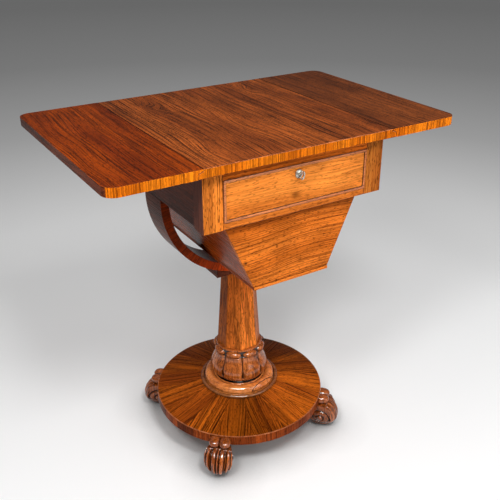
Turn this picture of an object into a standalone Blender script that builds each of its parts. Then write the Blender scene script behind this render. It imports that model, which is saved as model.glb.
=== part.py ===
"""Drop-leaf pedestal work table: rosewood top with two rule-jointed leaves, a frieze drawer with lock and
key, a tapered sliding well between the arms of a U-shaped yoke, an eight-sided column rising from a lotus
collar, and a round platform on four carved scroll feet. Metres, +Z up, front towards -Y, origin on the
floor."""

import math

import bmesh
import bpy
from mathutils import Matrix, Vector

# Running clearance between neighbouring pieces, and between pieces that slide on each other.
FIT = 0.0003
SLIDE_FIT = 0.0005

# How far a cutter runs past the face that it cuts.
OVERCUT = 0.0100

# Heights of the pedestal from the floor up.
FOOT_H = 0.0675
DISC_R = 0.1918
DISC_EDGE_T = 0.0238
DISC_RISE = 0.0177
DISC_ARRIS = 0.0016
HUB_LIP = 0.0002
RING_R = 0.0893
RING_H = 0.0244
RING_TOP_R = 0.0580
RING_BEAD_R = 0.0042
RING_NECK_R = 0.0026
RING_NECK_H = 0.0060
RING_STEP = 0.0010
COLLAR_R = 0.0660
COLLAR_H = 0.0787
PETALS = 8
COLLAR_LIP = 0.0025
COLUMN_L = 0.1937
COLUMN_FOOT_R = 0.0485
COLUMN_HEAD_R = 0.0360
TENON_R = 0.0200
SADDLE_L = 0.1412
SADDLE_MIN_T = 0.0042
YOKE_R = 0.1885
YOKE_T = 0.0175
YOKE_D = 0.0700
YOKE_RISE = 0.0087

# Carved scroll feet: the scroll's width, the bulge of its ribs and the two lobes above it. The base stands
# turned a little under the case.
FOOT_OUT = 0.0080
FOOT_W = 0.0620
FOOT_SINK = 0.0006
RIB_DEPTH = 0.0022
LOBE_W = 0.0125
LOBE_H = 0.0108
LOBE_D = 0.0115
LOBE_GAP = 0.0236
LOBE_OUT = 0.0045
LOBE_UP = 0.0085
NECK_W = 0.0400
NECK_L = 0.0640
NECK_STEP = 0.0090
FEET_TURN = 2.0

# Case. Its sides stand over the ends of the yoke, so its width follows the yoke.
CASE_D = 0.4270
CASE_H = 0.1087
POST_W = 0.0387
POST_D = 0.0340
SIDE_RECESS = 0.0042
SIDE_T = 0.0280
RAIL_H = 0.0174
PANEL_T = 0.0170
PANEL_RECESS = 0.0020
RUNNER_LEDGE = 0.0092
RUNNER_GUIDE_H = 0.0185
RUNNER_REACH = 0.0205
BEARER_W = 0.0255

# Swinging leaf supports.
FLY_T = 0.0170
FLY_H = 0.0540
FLY_AXIS_Y = -0.0350
FLY_L = 0.1250
FLY_NOSE_R = 0.0300
FLY_PIN_R = 0.0022
KNUCKLE_FIT = 0.0005

# Top, leaves and rule joints.
TOP_W = 0.3960
TOP_D = 0.4630
TOP_T = 0.0170
LEAF_W = 0.1655
LEAF_CORNER_R = 0.0230
RULE_FILLET = 0.0040
RULE_FIT = 0.0004
HINGE_Y = 0.1500
HINGE_L = 0.0330
HINGE_T = 0.0015
HINGE_LET_IN = 0.0020
HINGE_TOP_REACH = 0.0350
HINGE_LEAF_REACH = 0.0480
HINGE_BARREL_R = 0.0025
HINGE_PIN_R = 0.0012

# Drawer.
DRAWER_FRONT_T = 0.0180
DRAWER_BACK_ROOM = 0.0277
DRAWER_SIDE_INSET = 0.0010
DRAWER_BOARD_T = 0.0090
DRAWER_BOTTOM_T = 0.0060
DRAWER_SIDE_DROP = 0.0080
DRAWER_GROOVE = 0.0040
DRAWER_GROOVE_UP = 0.0065
DRAWER_BACK_DROP = 0.0040
BEAD_W = 0.0053
BEAD_PROUD = 0.0022
BEAD_D = 0.0060

# Lock, escutcheon and key.
KEY_DROP = 0.0178
LOCK_W = 0.0500
LOCK_H = 0.0310
LOCK_D = 0.0085
LOCK_WALL = 0.0015
BOLT_W = 0.0180
BOLT_T = 0.0030
BOLT_L = 0.0235
BOLT_THROW = 0.0060
BOLT_ROOM = 0.0008
BOLT_SINK = 0.0008
BOSS_R = 0.0085
BOSS_H = 0.0042
BOSS_EDGE = 0.0008
KEY_R = 0.0019
KEY_BIT_R = 0.0068
KEY_BIT_T = 0.0018
KEY_BIT_L = 0.0022
KEY_COLLAR_R = 0.0036
KEY_COLLAR_T = 0.0016
KEYHOLE_ROOM = 0.0007
KEYHOLE_SLOT_ROOM = 0.0005
KEYHOLE_FOOT_ROOM = 0.0006
BOW_W = 0.0120
BOW_H = 0.0170
BOW_R = 0.0015
KEY_TILT = math.radians(-18.0)

# Sliding well.
WELL_RAIL_H = 0.0125
WELL_RAIL_D = 0.0232
WELL_SET_BACK = 0.0135
WELL_BACK_ROOM = 0.0050
WELL_TOP_W = 0.2928
WELL_FOOT_W = 0.1696
YOKE_ROOM = 0.0098
WELL_T = 0.0100
WELL_BOTTOM_T = 0.0058
WELL_BOTTOM_LIP = 0.0015
BAR_W = 0.0250
TONGUE_H = 0.0045
TONGUE_L = 0.0048

# Heights and faces that follow from the sizes above.
Z_DISC_RIM = FOOT_H + DISC_EDGE_T
Z_HUB = Z_DISC_RIM + DISC_RISE
Z_RING = Z_HUB + FIT
Z_COLLAR = Z_RING + RING_H + FIT
Z_COLUMN = Z_COLLAR + COLLAR_H + FIT
Z_SADDLE = Z_COLUMN + COLUMN_L + FIT
Z_YOKE_AXIS = Z_SADDLE + SADDLE_MIN_T + FIT + YOKE_R
Z_CASE = Z_YOKE_AXIS + YOKE_RISE + FIT
Z_CASE_TOP = Z_CASE + CASE_H
Z_UNDER = Z_CASE_TOP + FIT
Z_TOP = Z_UNDER + TOP_T
Z_HINGE = Z_UNDER + HINGE_LET_IN
RULE_R = TOP_T - HINGE_LET_IN - RULE_FILLET
X_JOINT = TOP_W / 2
X_SIDE_OUT = YOKE_R
CASE_W = 2 * (X_SIDE_OUT + SIDE_RECESS)
X_POST_IN = CASE_W / 2 - POST_W
X_SIDE_IN = X_SIDE_OUT - SIDE_T
Y_FRONT = -CASE_D / 2
Y_POST_IN = CASE_D / 2 - POST_D
Z_RAIL = Z_CASE_TOP - RAIL_H
Z_WELL_TOP = Z_CASE + WELL_RAIL_H
Z_DRAWER = Z_WELL_TOP + SLIDE_FIT
Z_DRAWER_TOP = Z_RAIL - SLIDE_FIT
X_DRAWER = X_POST_IN - SLIDE_FIT
Z_LEDGE = Z_DRAWER + RUNNER_LEDGE
X_FLY = X_SIDE_OUT - FLY_T / 2
Z_FLY = Z_CASE_TOP - FLY_H
Z_KEY = Z_DRAWER_TOP - KEY_DROP

for old in list(bpy.data.objects):
    bpy.data.objects.remove(old, do_unlink=True)


def material(name, colour, roughness, metallic=0.0):
    made = bpy.data.materials.new(name)
    made.use_nodes = True
    shader = made.node_tree.nodes["Principled BSDF"]
    shader.inputs["Base Color"].default_value = (*colour, 1.0)
    shader.inputs["Roughness"].default_value = roughness
    shader.inputs["Metallic"].default_value = metallic
    made.diffuse_color = (*colour, 1.0)
    return made


ROSEWOOD = material("rosewood", (0.230, 0.085, 0.030), 0.28)
ROSEWOOD_DARK = material("rosewood dark", (0.105, 0.036, 0.018), 0.24)
SECONDARY = material("secondary oak", (0.330, 0.190, 0.085), 0.55)
BRASS = material("hinge brass", (0.560, 0.370, 0.130), 0.38, 1.0)
STEEL = material("polished steel", (0.600, 0.590, 0.570), 0.25, 1.0)


def axis(name, at):
    """An empty on a body's joint axis, which carries the pieces of that body."""
    made = bpy.data.objects.new(name, None)
    made.location = at
    bpy.context.collection.objects.link(made)
    return made


CASE = axis("case_body", (0.0, 0.0, 0.0))
LEFT_LEAF = axis("left_leaf_axis", (-X_JOINT, 0.0, Z_HINGE))
RIGHT_LEAF = axis("right_leaf_axis", (X_JOINT, 0.0, Z_HINGE))
LEFT_FLY = axis("left_fly_axis", (-X_FLY, -FLY_AXIS_Y, Z_FLY))
RIGHT_FLY = axis("right_fly_axis", (X_FLY, FLY_AXIS_Y, Z_FLY))
DRAWER = axis("drawer_slide_axis", (0.0, Y_FRONT, Z_DRAWER))
WELL = axis("well_slide_axis", (0.0, Y_FRONT, Z_CASE))
KEY = axis("key_axis", (0.0, Y_FRONT, Z_KEY))


def place(name, mesh, mat, parent, at=(0.0, 0.0, 0.0), turn=0.0):
    made = bpy.data.objects.new(name, mesh)
    made.location = at
    made.rotation_euler = (0.0, 0.0, turn)
    bpy.context.collection.objects.link(made)
    if mat and not mesh.materials:
        mesh.materials.append(mat)
    if parent:
        made.parent = parent
        made.matrix_parent_inverse = Matrix.Translation(parent.location).inverted()
    return made


def mesh_of(name, bm, smooth=None):
    bmesh.ops.recalc_face_normals(bm, faces=bm.faces)
    mesh = bpy.data.meshes.new(name)
    bm.to_mesh(mesh)
    bm.free()
    if smooth is not None:
        mesh.shade_smooth()
        mesh.set_sharp_from_angle(angle=math.radians(smooth))
    return mesh


def box(name, x, y, z, mat, parent):
    bm = bmesh.new()
    bmesh.ops.create_cube(bm, size=1.0)
    bmesh.ops.scale(bm, vec=(x[1] - x[0], y[1] - y[0], z[1] - z[0]), verts=bm.verts)
    middle = ((x[0] + x[1]) / 2, (y[0] + y[1]) / 2, (z[0] + z[1]) / 2)
    return place(name, mesh_of(name, bm), mat, parent, middle)


def extruded(outline, along, span):
    """An outline in XZ drawn out along Y, or in XY drawn out along Z, as a bmesh."""
    bm = bmesh.new()
    low, high = span
    if along == "Y":
        corners = [bm.verts.new((a, low, b)) for a, b in outline]
        reach = Vector((0.0, high - low, 0.0))
    else:
        corners = [bm.verts.new((a, b, low)) for a, b in outline]
        reach = Vector((0.0, 0.0, high - low))
    face = bm.faces.new(corners)
    grown = bmesh.ops.extrude_face_region(bm, geom=[face])
    moved = [e for e in grown["geom"] if isinstance(e, bmesh.types.BMVert)]
    bmesh.ops.translate(bm, verts=moved, vec=reach)
    return bm


def prism(name, outline, along, span, mat, parent, smooth=None):
    return place(name, mesh_of(name, extruded(outline, along, span), smooth), mat, parent)


def arc(cx, cz, r, start, end, steps):
    """Points on an arc, angles in degrees from +X."""
    turns = [math.radians(start + (end - start) * i / steps) for i in range(steps + 1)]
    return [(cx + r * math.cos(t), cz + r * math.sin(t)) for t in turns]


def spun(profile, steps, closed=True):
    """A profile of (radius, height) points turned about Z. An open profile starts and ends on the axis."""
    bm = bmesh.new()
    points = [bm.verts.new((r, 0.0, z)) for r, z in profile]
    pairs = list(zip(points, points[1:]))
    if closed:
        pairs.append((points[-1], points[0]))
    edges = [bm.edges.new(pair) for pair in pairs]
    bmesh.ops.spin(
        bm,
        geom=points + edges,
        cent=(0.0, 0.0, 0.0),
        axis=(0.0, 0.0, 1.0),
        angle=2 * math.pi,
        steps=steps,
        use_merge=True,
    )
    bmesh.ops.remove_doubles(bm, verts=bm.verts, dist=1e-7)
    return bm


def turned(name, profile, steps, mat, parent):
    return place(name, mesh_of(name, spun(profile, steps), 35.0), mat, parent)


def tool(made):
    made.hide_render = True
    made.display_type = "WIRE"
    return made


def shape(made, other, operation="DIFFERENCE"):
    step = made.modifiers.new(operation.lower() + "_" + other.name, "BOOLEAN")
    step.operation = operation
    step.solver = "EXACT"
    step.object = tool(other)
    return made


def rod(name, r, along, start, length, sides=24):
    """A round bar, used for pins, bores and barrels. start is the centre of its first end."""
    bm = bmesh.new()
    bmesh.ops.create_cone(bm, cap_ends=True, segments=sides, radius1=r, radius2=r, depth=length)
    bmesh.ops.translate(bm, verts=bm.verts, vec=(0.0, 0.0, length / 2))
    if along == "Y":
        bmesh.ops.rotate(bm, verts=bm.verts, cent=(0, 0, 0), matrix=Matrix.Rotation(-math.pi / 2, 3, "X"))
    bmesh.ops.translate(bm, verts=bm.verts, vec=start)
    return mesh_of(name, bm, 35.0)


def settled(made):
    """The evaluated mesh of an object with its modifiers applied, so that several pieces can share it."""
    bpy.context.view_layer.update()
    graph = bpy.context.evaluated_depsgraph_get()
    mesh = bpy.data.meshes.new_from_object(made.evaluated_get(graph))
    mesh.transform(made.matrix_world)
    return mesh


def pair(stem, mesh, mat, parents):
    """The same piece on both sides of the table: the left one is the right one turned half round."""
    place(stem + "_right", mesh, mat, parents[1])
    place(stem + "_left", mesh, mat, parents[0], turn=math.pi)


# Platform: a turned disc with a low rise to the hub, bored for the column's tenon.
bore = TENON_R + FIT
arris = DISC_ARRIS
turned(
    "base_disc",
    [
        (bore, Z_HUB),
        (RING_R + HUB_LIP, Z_HUB),
        (DISC_R - arris, Z_DISC_RIM),
        (DISC_R, Z_DISC_RIM - arris),
        (DISC_R, FOOT_H + arris),
        (DISC_R - arris, FOOT_H),
        (bore, FOOT_H),
    ],
    64,
    ROSEWOOD,
    CASE,
)


# Scroll foot, drawn with +X outwards. A ribbed scroll is turned about a level axis, then each of its stations
# is narrowed from the shoulder to the toe, so that the ribs draw together at the floor.
SCROLL_R = (FOOT_H + LOBE_H * 0.14) / 2
SCROLL_X = DISC_R + FOOT_OUT
SCROLL_Z = SCROLL_R - FOOT_SINK
GROOVES = (0.20, 0.40, 0.72)
GROOVE_W = 0.06


def rib_height(s):
    """Height of the scroll's crown at s, from -1 to 1 across its width: a barrel with V grooves."""
    crown = 1.0 - 0.10 * s * s - 0.06 * s**6
    cut = max(max(0.0, 1.0 - abs(abs(s) - g) / GROOVE_W) for g in GROOVES)
    return SCROLL_R * crown - RIB_DEPTH * cut


def scroll_width(turn):
    """Half width of the scroll at an angle from straight out: full in front, slim at the toe and behind."""
    front = max(0.0, math.cos(0.9 * (turn - 0.35)))
    return FOOT_W / 2 * (0.47 + 0.53 * front**1.5)


def scroll():
    first, second, third = GROOVES
    stations = {0.0, first - GROOVE_W, *GROOVES, (first + second) / 2, second + GROOVE_W}
    stations |= {third - GROOVE_W, third + GROOVE_W, 1.0}
    across = sorted(stations | {-s for s in stations})
    ends = [(0.0, 0.95), (0.26, 0.94), (0.38, 0.85), (0.48, 0.85), (0.58, 0.99)]
    profile = [(SCROLL_R * q, -w) for q, w in ends]
    profile += [(rib_height(s), s) for s in across]
    profile += [(SCROLL_R * q, w) for q, w in reversed(ends)]
    bm = spun(profile, 18, closed=False)
    for v in bm.verts:
        turn = math.atan2(v.co.y, v.co.x)
        reach = math.hypot(v.co.x, v.co.y)
        blend = min(1.0, reach / (0.58 * SCROLL_R))
        share = (turn + math.pi * 1.25) % (2 * math.pi) / (2 * math.pi)
        if 0.1 < reach / SCROLL_R < 0.55:
            reach *= 0.80 + 0.36 * share
        width = (blend * scroll_width(turn) + (1 - blend) * 0.33 * FOOT_W) * v.co.z
        v.co = Vector((SCROLL_X + reach * math.cos(turn), width, SCROLL_Z + reach * math.sin(turn)))
    return bm


foot = place("foot_scroll", mesh_of("foot_scroll", scroll(), 40.0), ROSEWOOD, None)
neck_low = FOOT_H * 0.46
neck = [(SCROLL_X, neck_low)]
neck += arc(SCROLL_X - NECK_L, neck_low, FOOT_H - neck_low - NECK_STEP, 0, 90, 6)
neck += [(SCROLL_X - NECK_L, FOOT_H + LOBE_H * 0.2), (SCROLL_X, FOOT_H + LOBE_H * 0.2)]
neck_span = (-NECK_W / 2, NECK_W / 2)
shape(foot, prism("foot_neck", neck, "Y", neck_span, None, None), "UNION")
for side in (-1, 1):
    bm = bmesh.new()
    bmesh.ops.create_uvsphere(bm, u_segments=10, v_segments=7, radius=1.0)
    bmesh.ops.scale(bm, vec=(LOBE_D, LOBE_W, LOBE_H), verts=bm.verts)
    centre = (SCROLL_X + LOBE_OUT, side * LOBE_GAP / 2, FOOT_H + LOBE_UP)
    lobe = place("foot_lobe", mesh_of("foot_lobe", bm, 60.0), None, None, centre)
    shape(foot, lobe, "UNION")
seat_r = DISC_R + FIT
seat_top = Z_HUB + LOBE_H + OVERCUT
rim = [(0.0, seat_top), (seat_r, seat_top), (seat_r, FOOT_H - FIT), (0.0, FOOT_H - FIT)]
shape(foot, place("foot_seat", mesh_of("foot_seat", spun(rim, 64, closed=False)), None, None))
reach = (SCROLL_X - SCROLL_R - OVERCUT, SCROLL_X + SCROLL_R + OVERCUT)
spread = (-FOOT_W / 2 - OVERCUT, FOOT_W / 2 + OVERCUT)
shape(foot, box("foot_sole", reach, spread, (-OVERCUT, 0.0), None, None))
foot_mesh = settled(foot)
foot_mesh.name = "scroll_foot"
tool(foot)
for where, turn in (("front_right", -45), ("back_right", 45), ("back_left", 135), ("front_left", 225)):
    place("foot_" + where, foot_mesh, ROSEWOOD, CASE, turn=math.radians(turn + FEET_TURN))


# Base ring: outer bead, broad ovolo and a neck ring under the collar.
ring_bead_x = RING_R - RING_BEAD_R
z_ovolo = Z_RING + RING_BEAD_R
ovolo_r = RING_TOP_R + 2 * RING_STEP
ovolo_w = ring_bead_x - RING_BEAD_R - ovolo_r
ovolo_h = RING_H - RING_BEAD_R - RING_NECK_H - RING_STEP / 5
ring = [(bore, Z_RING)]
ring += arc(ring_bead_x, z_ovolo, RING_BEAD_R, -60, 180, 5)
ring += [
    (
        ovolo_r + ovolo_w * math.cos(math.radians(a)) ** 0.8,
        z_ovolo + ovolo_h * math.sin(math.radians(a)),
    )
    for a in (4, 24, 44, 64, 84)
]
z_ring_top = Z_RING + RING_H
ring += [(RING_TOP_R - RING_STEP, z_ring_top - RING_NECK_H)]
ring += arc(RING_TOP_R - 2 * RING_STEP, z_ring_top - RING_NECK_R - RING_STEP / 5, RING_NECK_R, -70, 70, 3)
ring += [(RING_TOP_R - 3 * RING_STEP, z_ring_top), (bore, z_ring_top)]
turned("base_ring", ring, 44, ROSEWOOD_DARK, CASE)


# Lotus collar: a bowl of eight petals. Each petal ends above in a rolled lobe, and between two petals the
# carver's groove opens below into a hollow.
def collar_radius(height, off):
    """Radius at a share of the collar's height. off runs from 0 on a petal's middle to 1 in the groove."""
    if height < 0.70:
        belly = COLLAR_R * (0.885 + 0.115 * math.sin(math.pi * (height + 0.06) / 0.76) ** 0.8)
        open_in = max(0.0, min(1.0, (height - 0.08) / 0.08))
        hollow = 0.035 + 0.055 * math.exp(-(((height - 0.22) / 0.14) ** 2))
        return belly - COLLAR_R * hollow * open_in * max(0.0, (off - 0.6) / 0.4)
    if height < 0.95:
        roll = math.sin(math.pi * min(1.0, max(0.0, (height - 0.72) / 0.22)))
        return COLLAR_R * (0.815 + 0.115 * roll * math.sqrt(max(0.0, 1.0 - off**2)) - 0.03 * off**4)
    return COLUMN_FOOT_R + COLLAR_LIP


def petal_share(turn):
    """How far an angle lies from its petal's middle, as a share of half a petal, and that middle."""
    step = 2 * math.pi / PETALS
    middle = round(turn / step) * step
    return (turn - middle) / (step / 2), middle


levels = (0.0, 0.07, 0.14, 0.24, 0.40, 0.56, 0.69, 0.72, 0.78, 0.83, 0.88, 0.94, 0.955, 1.0)
collar = [(bore, Z_COLLAR)]
collar += [(COLLAR_R, Z_COLLAR + COLLAR_H * share) for share in levels]
collar += [(bore, Z_COLLAR + COLLAR_H)]
bm = spun(collar, PETALS * 8)
for v in bm.verts:
    if math.hypot(v.co.x, v.co.y) < COLLAR_R * 0.6:
        continue
    share, middle = petal_share(math.atan2(v.co.y, v.co.x))
    drawn = math.copysign(abs(share) ** 0.72, share)
    around = middle + drawn * math.pi / PETALS
    r = collar_radius((v.co.z - Z_COLLAR) / COLLAR_H, abs(drawn))
    v.co.x = r * math.cos(around)
    v.co.y = r * math.sin(around)
place("lotus_collar", mesh_of("lotus_collar", bm, 50.0), ROSEWOOD, CASE)


# Column: eight flats that taper upwards, with the turned tenon that goes down through collar, ring and disc.
bm = bmesh.new()
bmesh.ops.create_cone(
    bm, cap_ends=True, segments=8, radius1=COLUMN_FOOT_R, radius2=COLUMN_HEAD_R, depth=COLUMN_L
)
bmesh.ops.rotate(bm, verts=bm.verts, cent=(0, 0, 0), matrix=Matrix.Rotation(math.pi / 8, 3, "Z"))
column = place("column", mesh_of("column", bm), ROSEWOOD, CASE, (0.0, 0.0, Z_COLUMN + COLUMN_L / 2))
tenon_l = Z_COLUMN - FOOT_H + COLUMN_L * 0.2
tenon = place("column_tenon", rod("column_tenon", TENON_R, "Z", (0, 0, FOOT_H), tenon_l, 20), None, None)
shape(column, tenon, "UNION")

# Saddle block, hollowed on top to the round of the yoke.
lean = math.degrees(math.asin(SADDLE_L / 2 / (YOKE_R + FIT)))
saddle = [(-SADDLE_L / 2, Z_SADDLE), (SADDLE_L / 2, Z_SADDLE)]
saddle += arc(0.0, Z_YOKE_AXIS, YOKE_R + FIT, -90 + lean, -90 - lean, 16)
yoke_span = (-YOKE_D / 2, YOKE_D / 2)
prism("saddle_block", saddle, "Y", yoke_span, ROSEWOOD_DARK, CASE, 30.0)

# Yoke: half a ring with short upright ends under the case sides.
yoke_top = Z_YOKE_AXIS + YOKE_RISE
yoke = [(YOKE_R, yoke_top)] + arc(0.0, Z_YOKE_AXIS, YOKE_R, 0, -180, 40) + [(-YOKE_R, yoke_top)]
yoke += [(-YOKE_R + YOKE_T, yoke_top)] + arc(0.0, Z_YOKE_AXIS, YOKE_R - YOKE_T, -180, 0, 40)
yoke += [(YOKE_R - YOKE_T, yoke_top)]
prism("yoke", yoke, "Y", yoke_span, ROSEWOOD, CASE, 30.0)


# Corner posts.
for end, sy in (("front", -1), ("back", 1)):
    for hand, sx in (("left", -1), ("right", 1)):
        xs = sorted((sx * CASE_W / 2, sx * X_POST_IN))
        ys = sorted((sy * CASE_D / 2, sy * Y_POST_IN))
        box(f"post_{end}_{hand}", xs, ys, (Z_CASE, Z_CASE_TOP), ROSEWOOD, CASE)

# Case sides, rebated outside for the fly rail and its bracket.
side_y = Y_POST_IN - FIT
side_x = (X_SIDE_IN, X_SIDE_OUT)
side = box("side_blank", side_x, (-side_y, side_y), (Z_CASE, Z_CASE_TOP), ROSEWOOD_DARK, CASE)
rebate_x = (X_SIDE_OUT - FLY_T - FIT, X_SIDE_OUT + OVERCUT)
rebate_y = (-side_y - OVERCUT, FLY_AXIS_Y + FLY_L + KNUCKLE_FIT)
shape(side, box("side_rebate", rebate_x, rebate_y, (Z_FLY - FIT, Z_CASE_TOP + OVERCUT), None, None))
side_mesh = settled(side)
tool(side)
pair("case_side", side_mesh, ROSEWOOD_DARK, (CASE, CASE))


# Fly rails and brackets: a wooden knuckle joint of three leaves about a steel pin.
half = FLY_T / 2


def knuckle_outline(length, way):
    """Plan of a rail that ends in a knuckle. Its outer shoulder is cut back so that it opens square."""
    back = [(X_FLY - half, FLY_AXIS_Y + way * length), (X_FLY - half, FLY_AXIS_Y)]
    knuckle = arc(X_FLY, FLY_AXIS_Y, half, 180, 180 + way * 227, 14)
    shoulder = math.tan(math.radians(47)) * half
    front = [(X_FLY + half, FLY_AXIS_Y + way * shoulder), (X_FLY + half, FLY_AXIS_Y + way * length)]
    return back + knuckle[1:] + front


leaf_h = FLY_H / 3
rail_l = side_y + FLY_AXIS_Y
fly_z = (Z_FLY, Z_CASE_TOP)
bore_at = (X_FLY, FLY_AXIS_Y, Z_FLY - OVERCUT)
bore_mesh = rod("fly_bore", FLY_PIN_R + FIT, "Z", bore_at, FLY_H + 2 * OVERCUT, 16)
scoop_r = half + KNUCKLE_FIT
rail = prism("fly_rail_blank", knuckle_outline(rail_l, -1), "Z", fly_z, ROSEWOOD_DARK, None, 30.0)
at = (X_FLY, FLY_AXIS_Y, Z_FLY + leaf_h - KNUCKLE_FIT / 2)
shape(rail, place("rail_scoop", rod("rail_scoop", scoop_r, "Z", at, leaf_h + KNUCKLE_FIT, 32), None, None))
shape(rail, place("rail_bore", bore_mesh, None, None))
rail_mesh = settled(rail)
tool(rail)
pair("fly_rail", rail_mesh, ROSEWOOD_DARK, (CASE, CASE))

bm = extruded(knuckle_outline(FLY_L, 1), "Z", fly_z)
end_y = FLY_AXIS_Y + FLY_L
toe = [
    e
    for e in bm.edges
    if all(abs(v.co.y - end_y) < 1e-6 and abs(v.co.z - Z_FLY) < 1e-6 for v in e.verts)
]
bmesh.ops.bevel(bm, geom=toe, offset=FLY_NOSE_R, segments=6, profile=0.5, affect="EDGES")
bracket = place("fly_bracket_blank", mesh_of("fly_bracket_blank", bm, 30.0), ROSEWOOD_DARK, None)
for low in (Z_FLY - OVERCUT, Z_FLY + 2 * leaf_h - KNUCKLE_FIT / 2):
    at = (X_FLY, FLY_AXIS_Y, low)
    high = leaf_h + OVERCUT + KNUCKLE_FIT / 2
    shape(bracket, place("bracket_scoop", rod("bracket_scoop", scoop_r, "Z", at, high, 32), None, None))
shape(bracket, place("bracket_bore", bore_mesh, None, None))
bracket_mesh = settled(bracket)
tool(bracket)
pair("fly_bracket", bracket_mesh, ROSEWOOD_DARK, (LEFT_FLY, RIGHT_FLY))
pin_mesh = rod("fly_pin", FLY_PIN_R, "Z", (X_FLY, FLY_AXIS_Y, Z_FLY), FLY_H, 16)
pair("fly_pin", pin_mesh, STEEL, (CASE, CASE))


# Runners: the ledge carries the drawer, the upright guides it, and the tongue below carries the well.
x_side = X_DRAWER - DRAWER_SIDE_INSET
x_guide = x_side + SLIDE_FIT
x_tongue = X_DRAWER - TONGUE_L
z_tongue = (Z_CASE + WELL_RAIL_H / 2 - TONGUE_H / 2, Z_CASE + WELL_RAIL_H / 2 + TONGUE_H / 2)
x_ledge = X_SIDE_IN - RUNNER_REACH
x_web = X_DRAWER + SLIDE_FIT
runner = [
    (X_SIDE_IN - FIT, Z_CASE),
    (X_SIDE_IN - FIT, Z_LEDGE + RUNNER_GUIDE_H),
    (x_guide, Z_LEDGE + RUNNER_GUIDE_H),
    (x_guide, Z_LEDGE),
    (x_ledge, Z_LEDGE),
    (x_ledge, Z_DRAWER),
    (x_web, Z_DRAWER),
    (x_web, z_tongue[1]),
    (x_tongue, z_tongue[1]),
    (x_tongue, z_tongue[0]),
    (x_web, z_tongue[0]),
    (x_web, Z_CASE),
]
runner_mesh = mesh_of("runner", extruded(runner, "Y", (-side_y, side_y)))
pair("runner", runner_mesh, SECONDARY, (CASE, CASE))

# Bearers under the top, which also keep the drawer level when it is drawn out.
bearer_x = (X_SIDE_IN - FIT - BEARER_W, X_SIDE_IN - FIT)
for hand, sx in (("left", -1), ("right", 1)):
    xs = sorted(sx * x for x in bearer_x)
    box("bearer_" + hand, xs, (-side_y, side_y), (Z_RAIL, Z_CASE_TOP), SECONDARY, CASE)

# Rail above the drawer, mortised underneath for the lock bolt.
rail_x = (-X_POST_IN + FIT, X_POST_IN - FIT)
top_rail = box("top_rail", rail_x, (Y_FRONT, -side_y), (Z_RAIL, Z_CASE_TOP), ROSEWOOD_DARK, CASE)
y_box = Y_FRONT + DRAWER_FRONT_T + FIT
bolt_y = (y_box + LOCK_D - LOCK_WALL - FIT - BOLT_T, y_box + LOCK_D - LOCK_WALL - FIT)
mortise_x = (-BOLT_W / 2 - BOLT_ROOM, BOLT_W / 2 + BOLT_ROOM)
mortise_y = (bolt_y[0] - BOLT_ROOM, bolt_y[1] + BOLT_ROOM)
mortise_z = (Z_RAIL - OVERCUT, Z_RAIL + BOLT_THROW)
mortise = box("bolt_mortise", mortise_x, mortise_y, mortise_z, None, None)
shape(top_rail, mortise)


def moulding(name, width, low, high, y_out, y_in, parent, turn=0.0):
    """A mitred frame of round-nosed bead, its corners joined by bridging one section to the next."""
    nose = BEAD_W / 2
    section = [(0.0, y_in), (0.0, y_out + nose * 0.6)]
    section += [(nose - nose * math.cos(a), y_out + nose * 0.6 * (1 - math.sin(a))) for a in (0.5, 1.05)]
    section += [(nose, y_out)]
    section += [(nose + nose * math.cos(a), y_out + nose * 0.6 * (1 - math.sin(a))) for a in (1.05, 0.5)]
    section += [(BEAD_W, y_out + nose * 0.6), (BEAD_W, y_in)]
    bm = bmesh.new()
    rings = []
    for into, y in section:
        xs = (-width + into, width - into)
        zs = (low + into, high - into)
        corners = [(xs[0], y, zs[0]), (xs[1], y, zs[0]), (xs[1], y, zs[1]), (xs[0], y, zs[1])]
        points = [bm.verts.new(p) for p in corners]
        rings.append([bm.edges.new((points[i], points[(i + 1) % 4])) for i in range(4)])
    for first, second in zip(rings, rings[1:] + rings[:1]):
        bmesh.ops.bridge_loops(bm, edges=first + second)
    return place(name, mesh_of(name, bm, 40.0), ROSEWOOD, parent, turn=turn)


# Back panel between the back posts, dressed like a drawer front with the same bead.
panel_y = (CASE_D / 2 - PANEL_RECESS - PANEL_T, CASE_D / 2 - PANEL_RECESS)
box("back_panel", rail_x, panel_y, (Z_CASE, Z_CASE_TOP), ROSEWOOD, CASE)
back_bead_y = (-CASE_D / 2 - BEAD_PROUD + PANEL_RECESS, -CASE_D / 2 + PANEL_RECESS - FIT)
moulding("back_bead", X_DRAWER, Z_DRAWER, Z_DRAWER_TOP, *back_bead_y, CASE, math.pi)


# Fixed top: each long edge is worked to the ovolo of a rule joint, and let in below for the hinges.
def half_top(sign):
    curve = arc(X_JOINT, Z_HINGE, RULE_R, 90, 0, 8)
    edge = [(X_JOINT, Z_TOP)] + curve + [(X_JOINT + RULE_R, Z_UNDER)]
    return [(sign * x, z) for x, z in edge]


outline = half_top(1) + half_top(-1)[::-1]
board_y = (-TOP_D / 2, TOP_D / 2)
top = prism("top_centre", outline, "Y", board_y, ROSEWOOD, CASE, 30.0)
slot_r = HINGE_BARREL_R + RULE_FIT
x_in = X_JOINT - HINGE_TOP_REACH - FIT
x_out = X_JOINT + RULE_R + OVERCUT
pocket = [(x_in, Z_UNDER - OVERCUT), (x_out, Z_UNDER - OVERCUT), (x_out, Z_HINGE)]
pocket += arc(X_JOINT, Z_HINGE, slot_r, 0, 180, 8) + [(x_in, Z_HINGE)]
for sx in (-1, 1):
    for sy in (-1, 1):
        span = (sy * HINGE_Y - HINGE_L / 2 - FIT, sy * HINGE_Y + HINGE_L / 2 + FIT)
        shape(top, prism("top_pocket", [(sx * x, z) for x, z in pocket], "Y", span, None, None))

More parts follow.
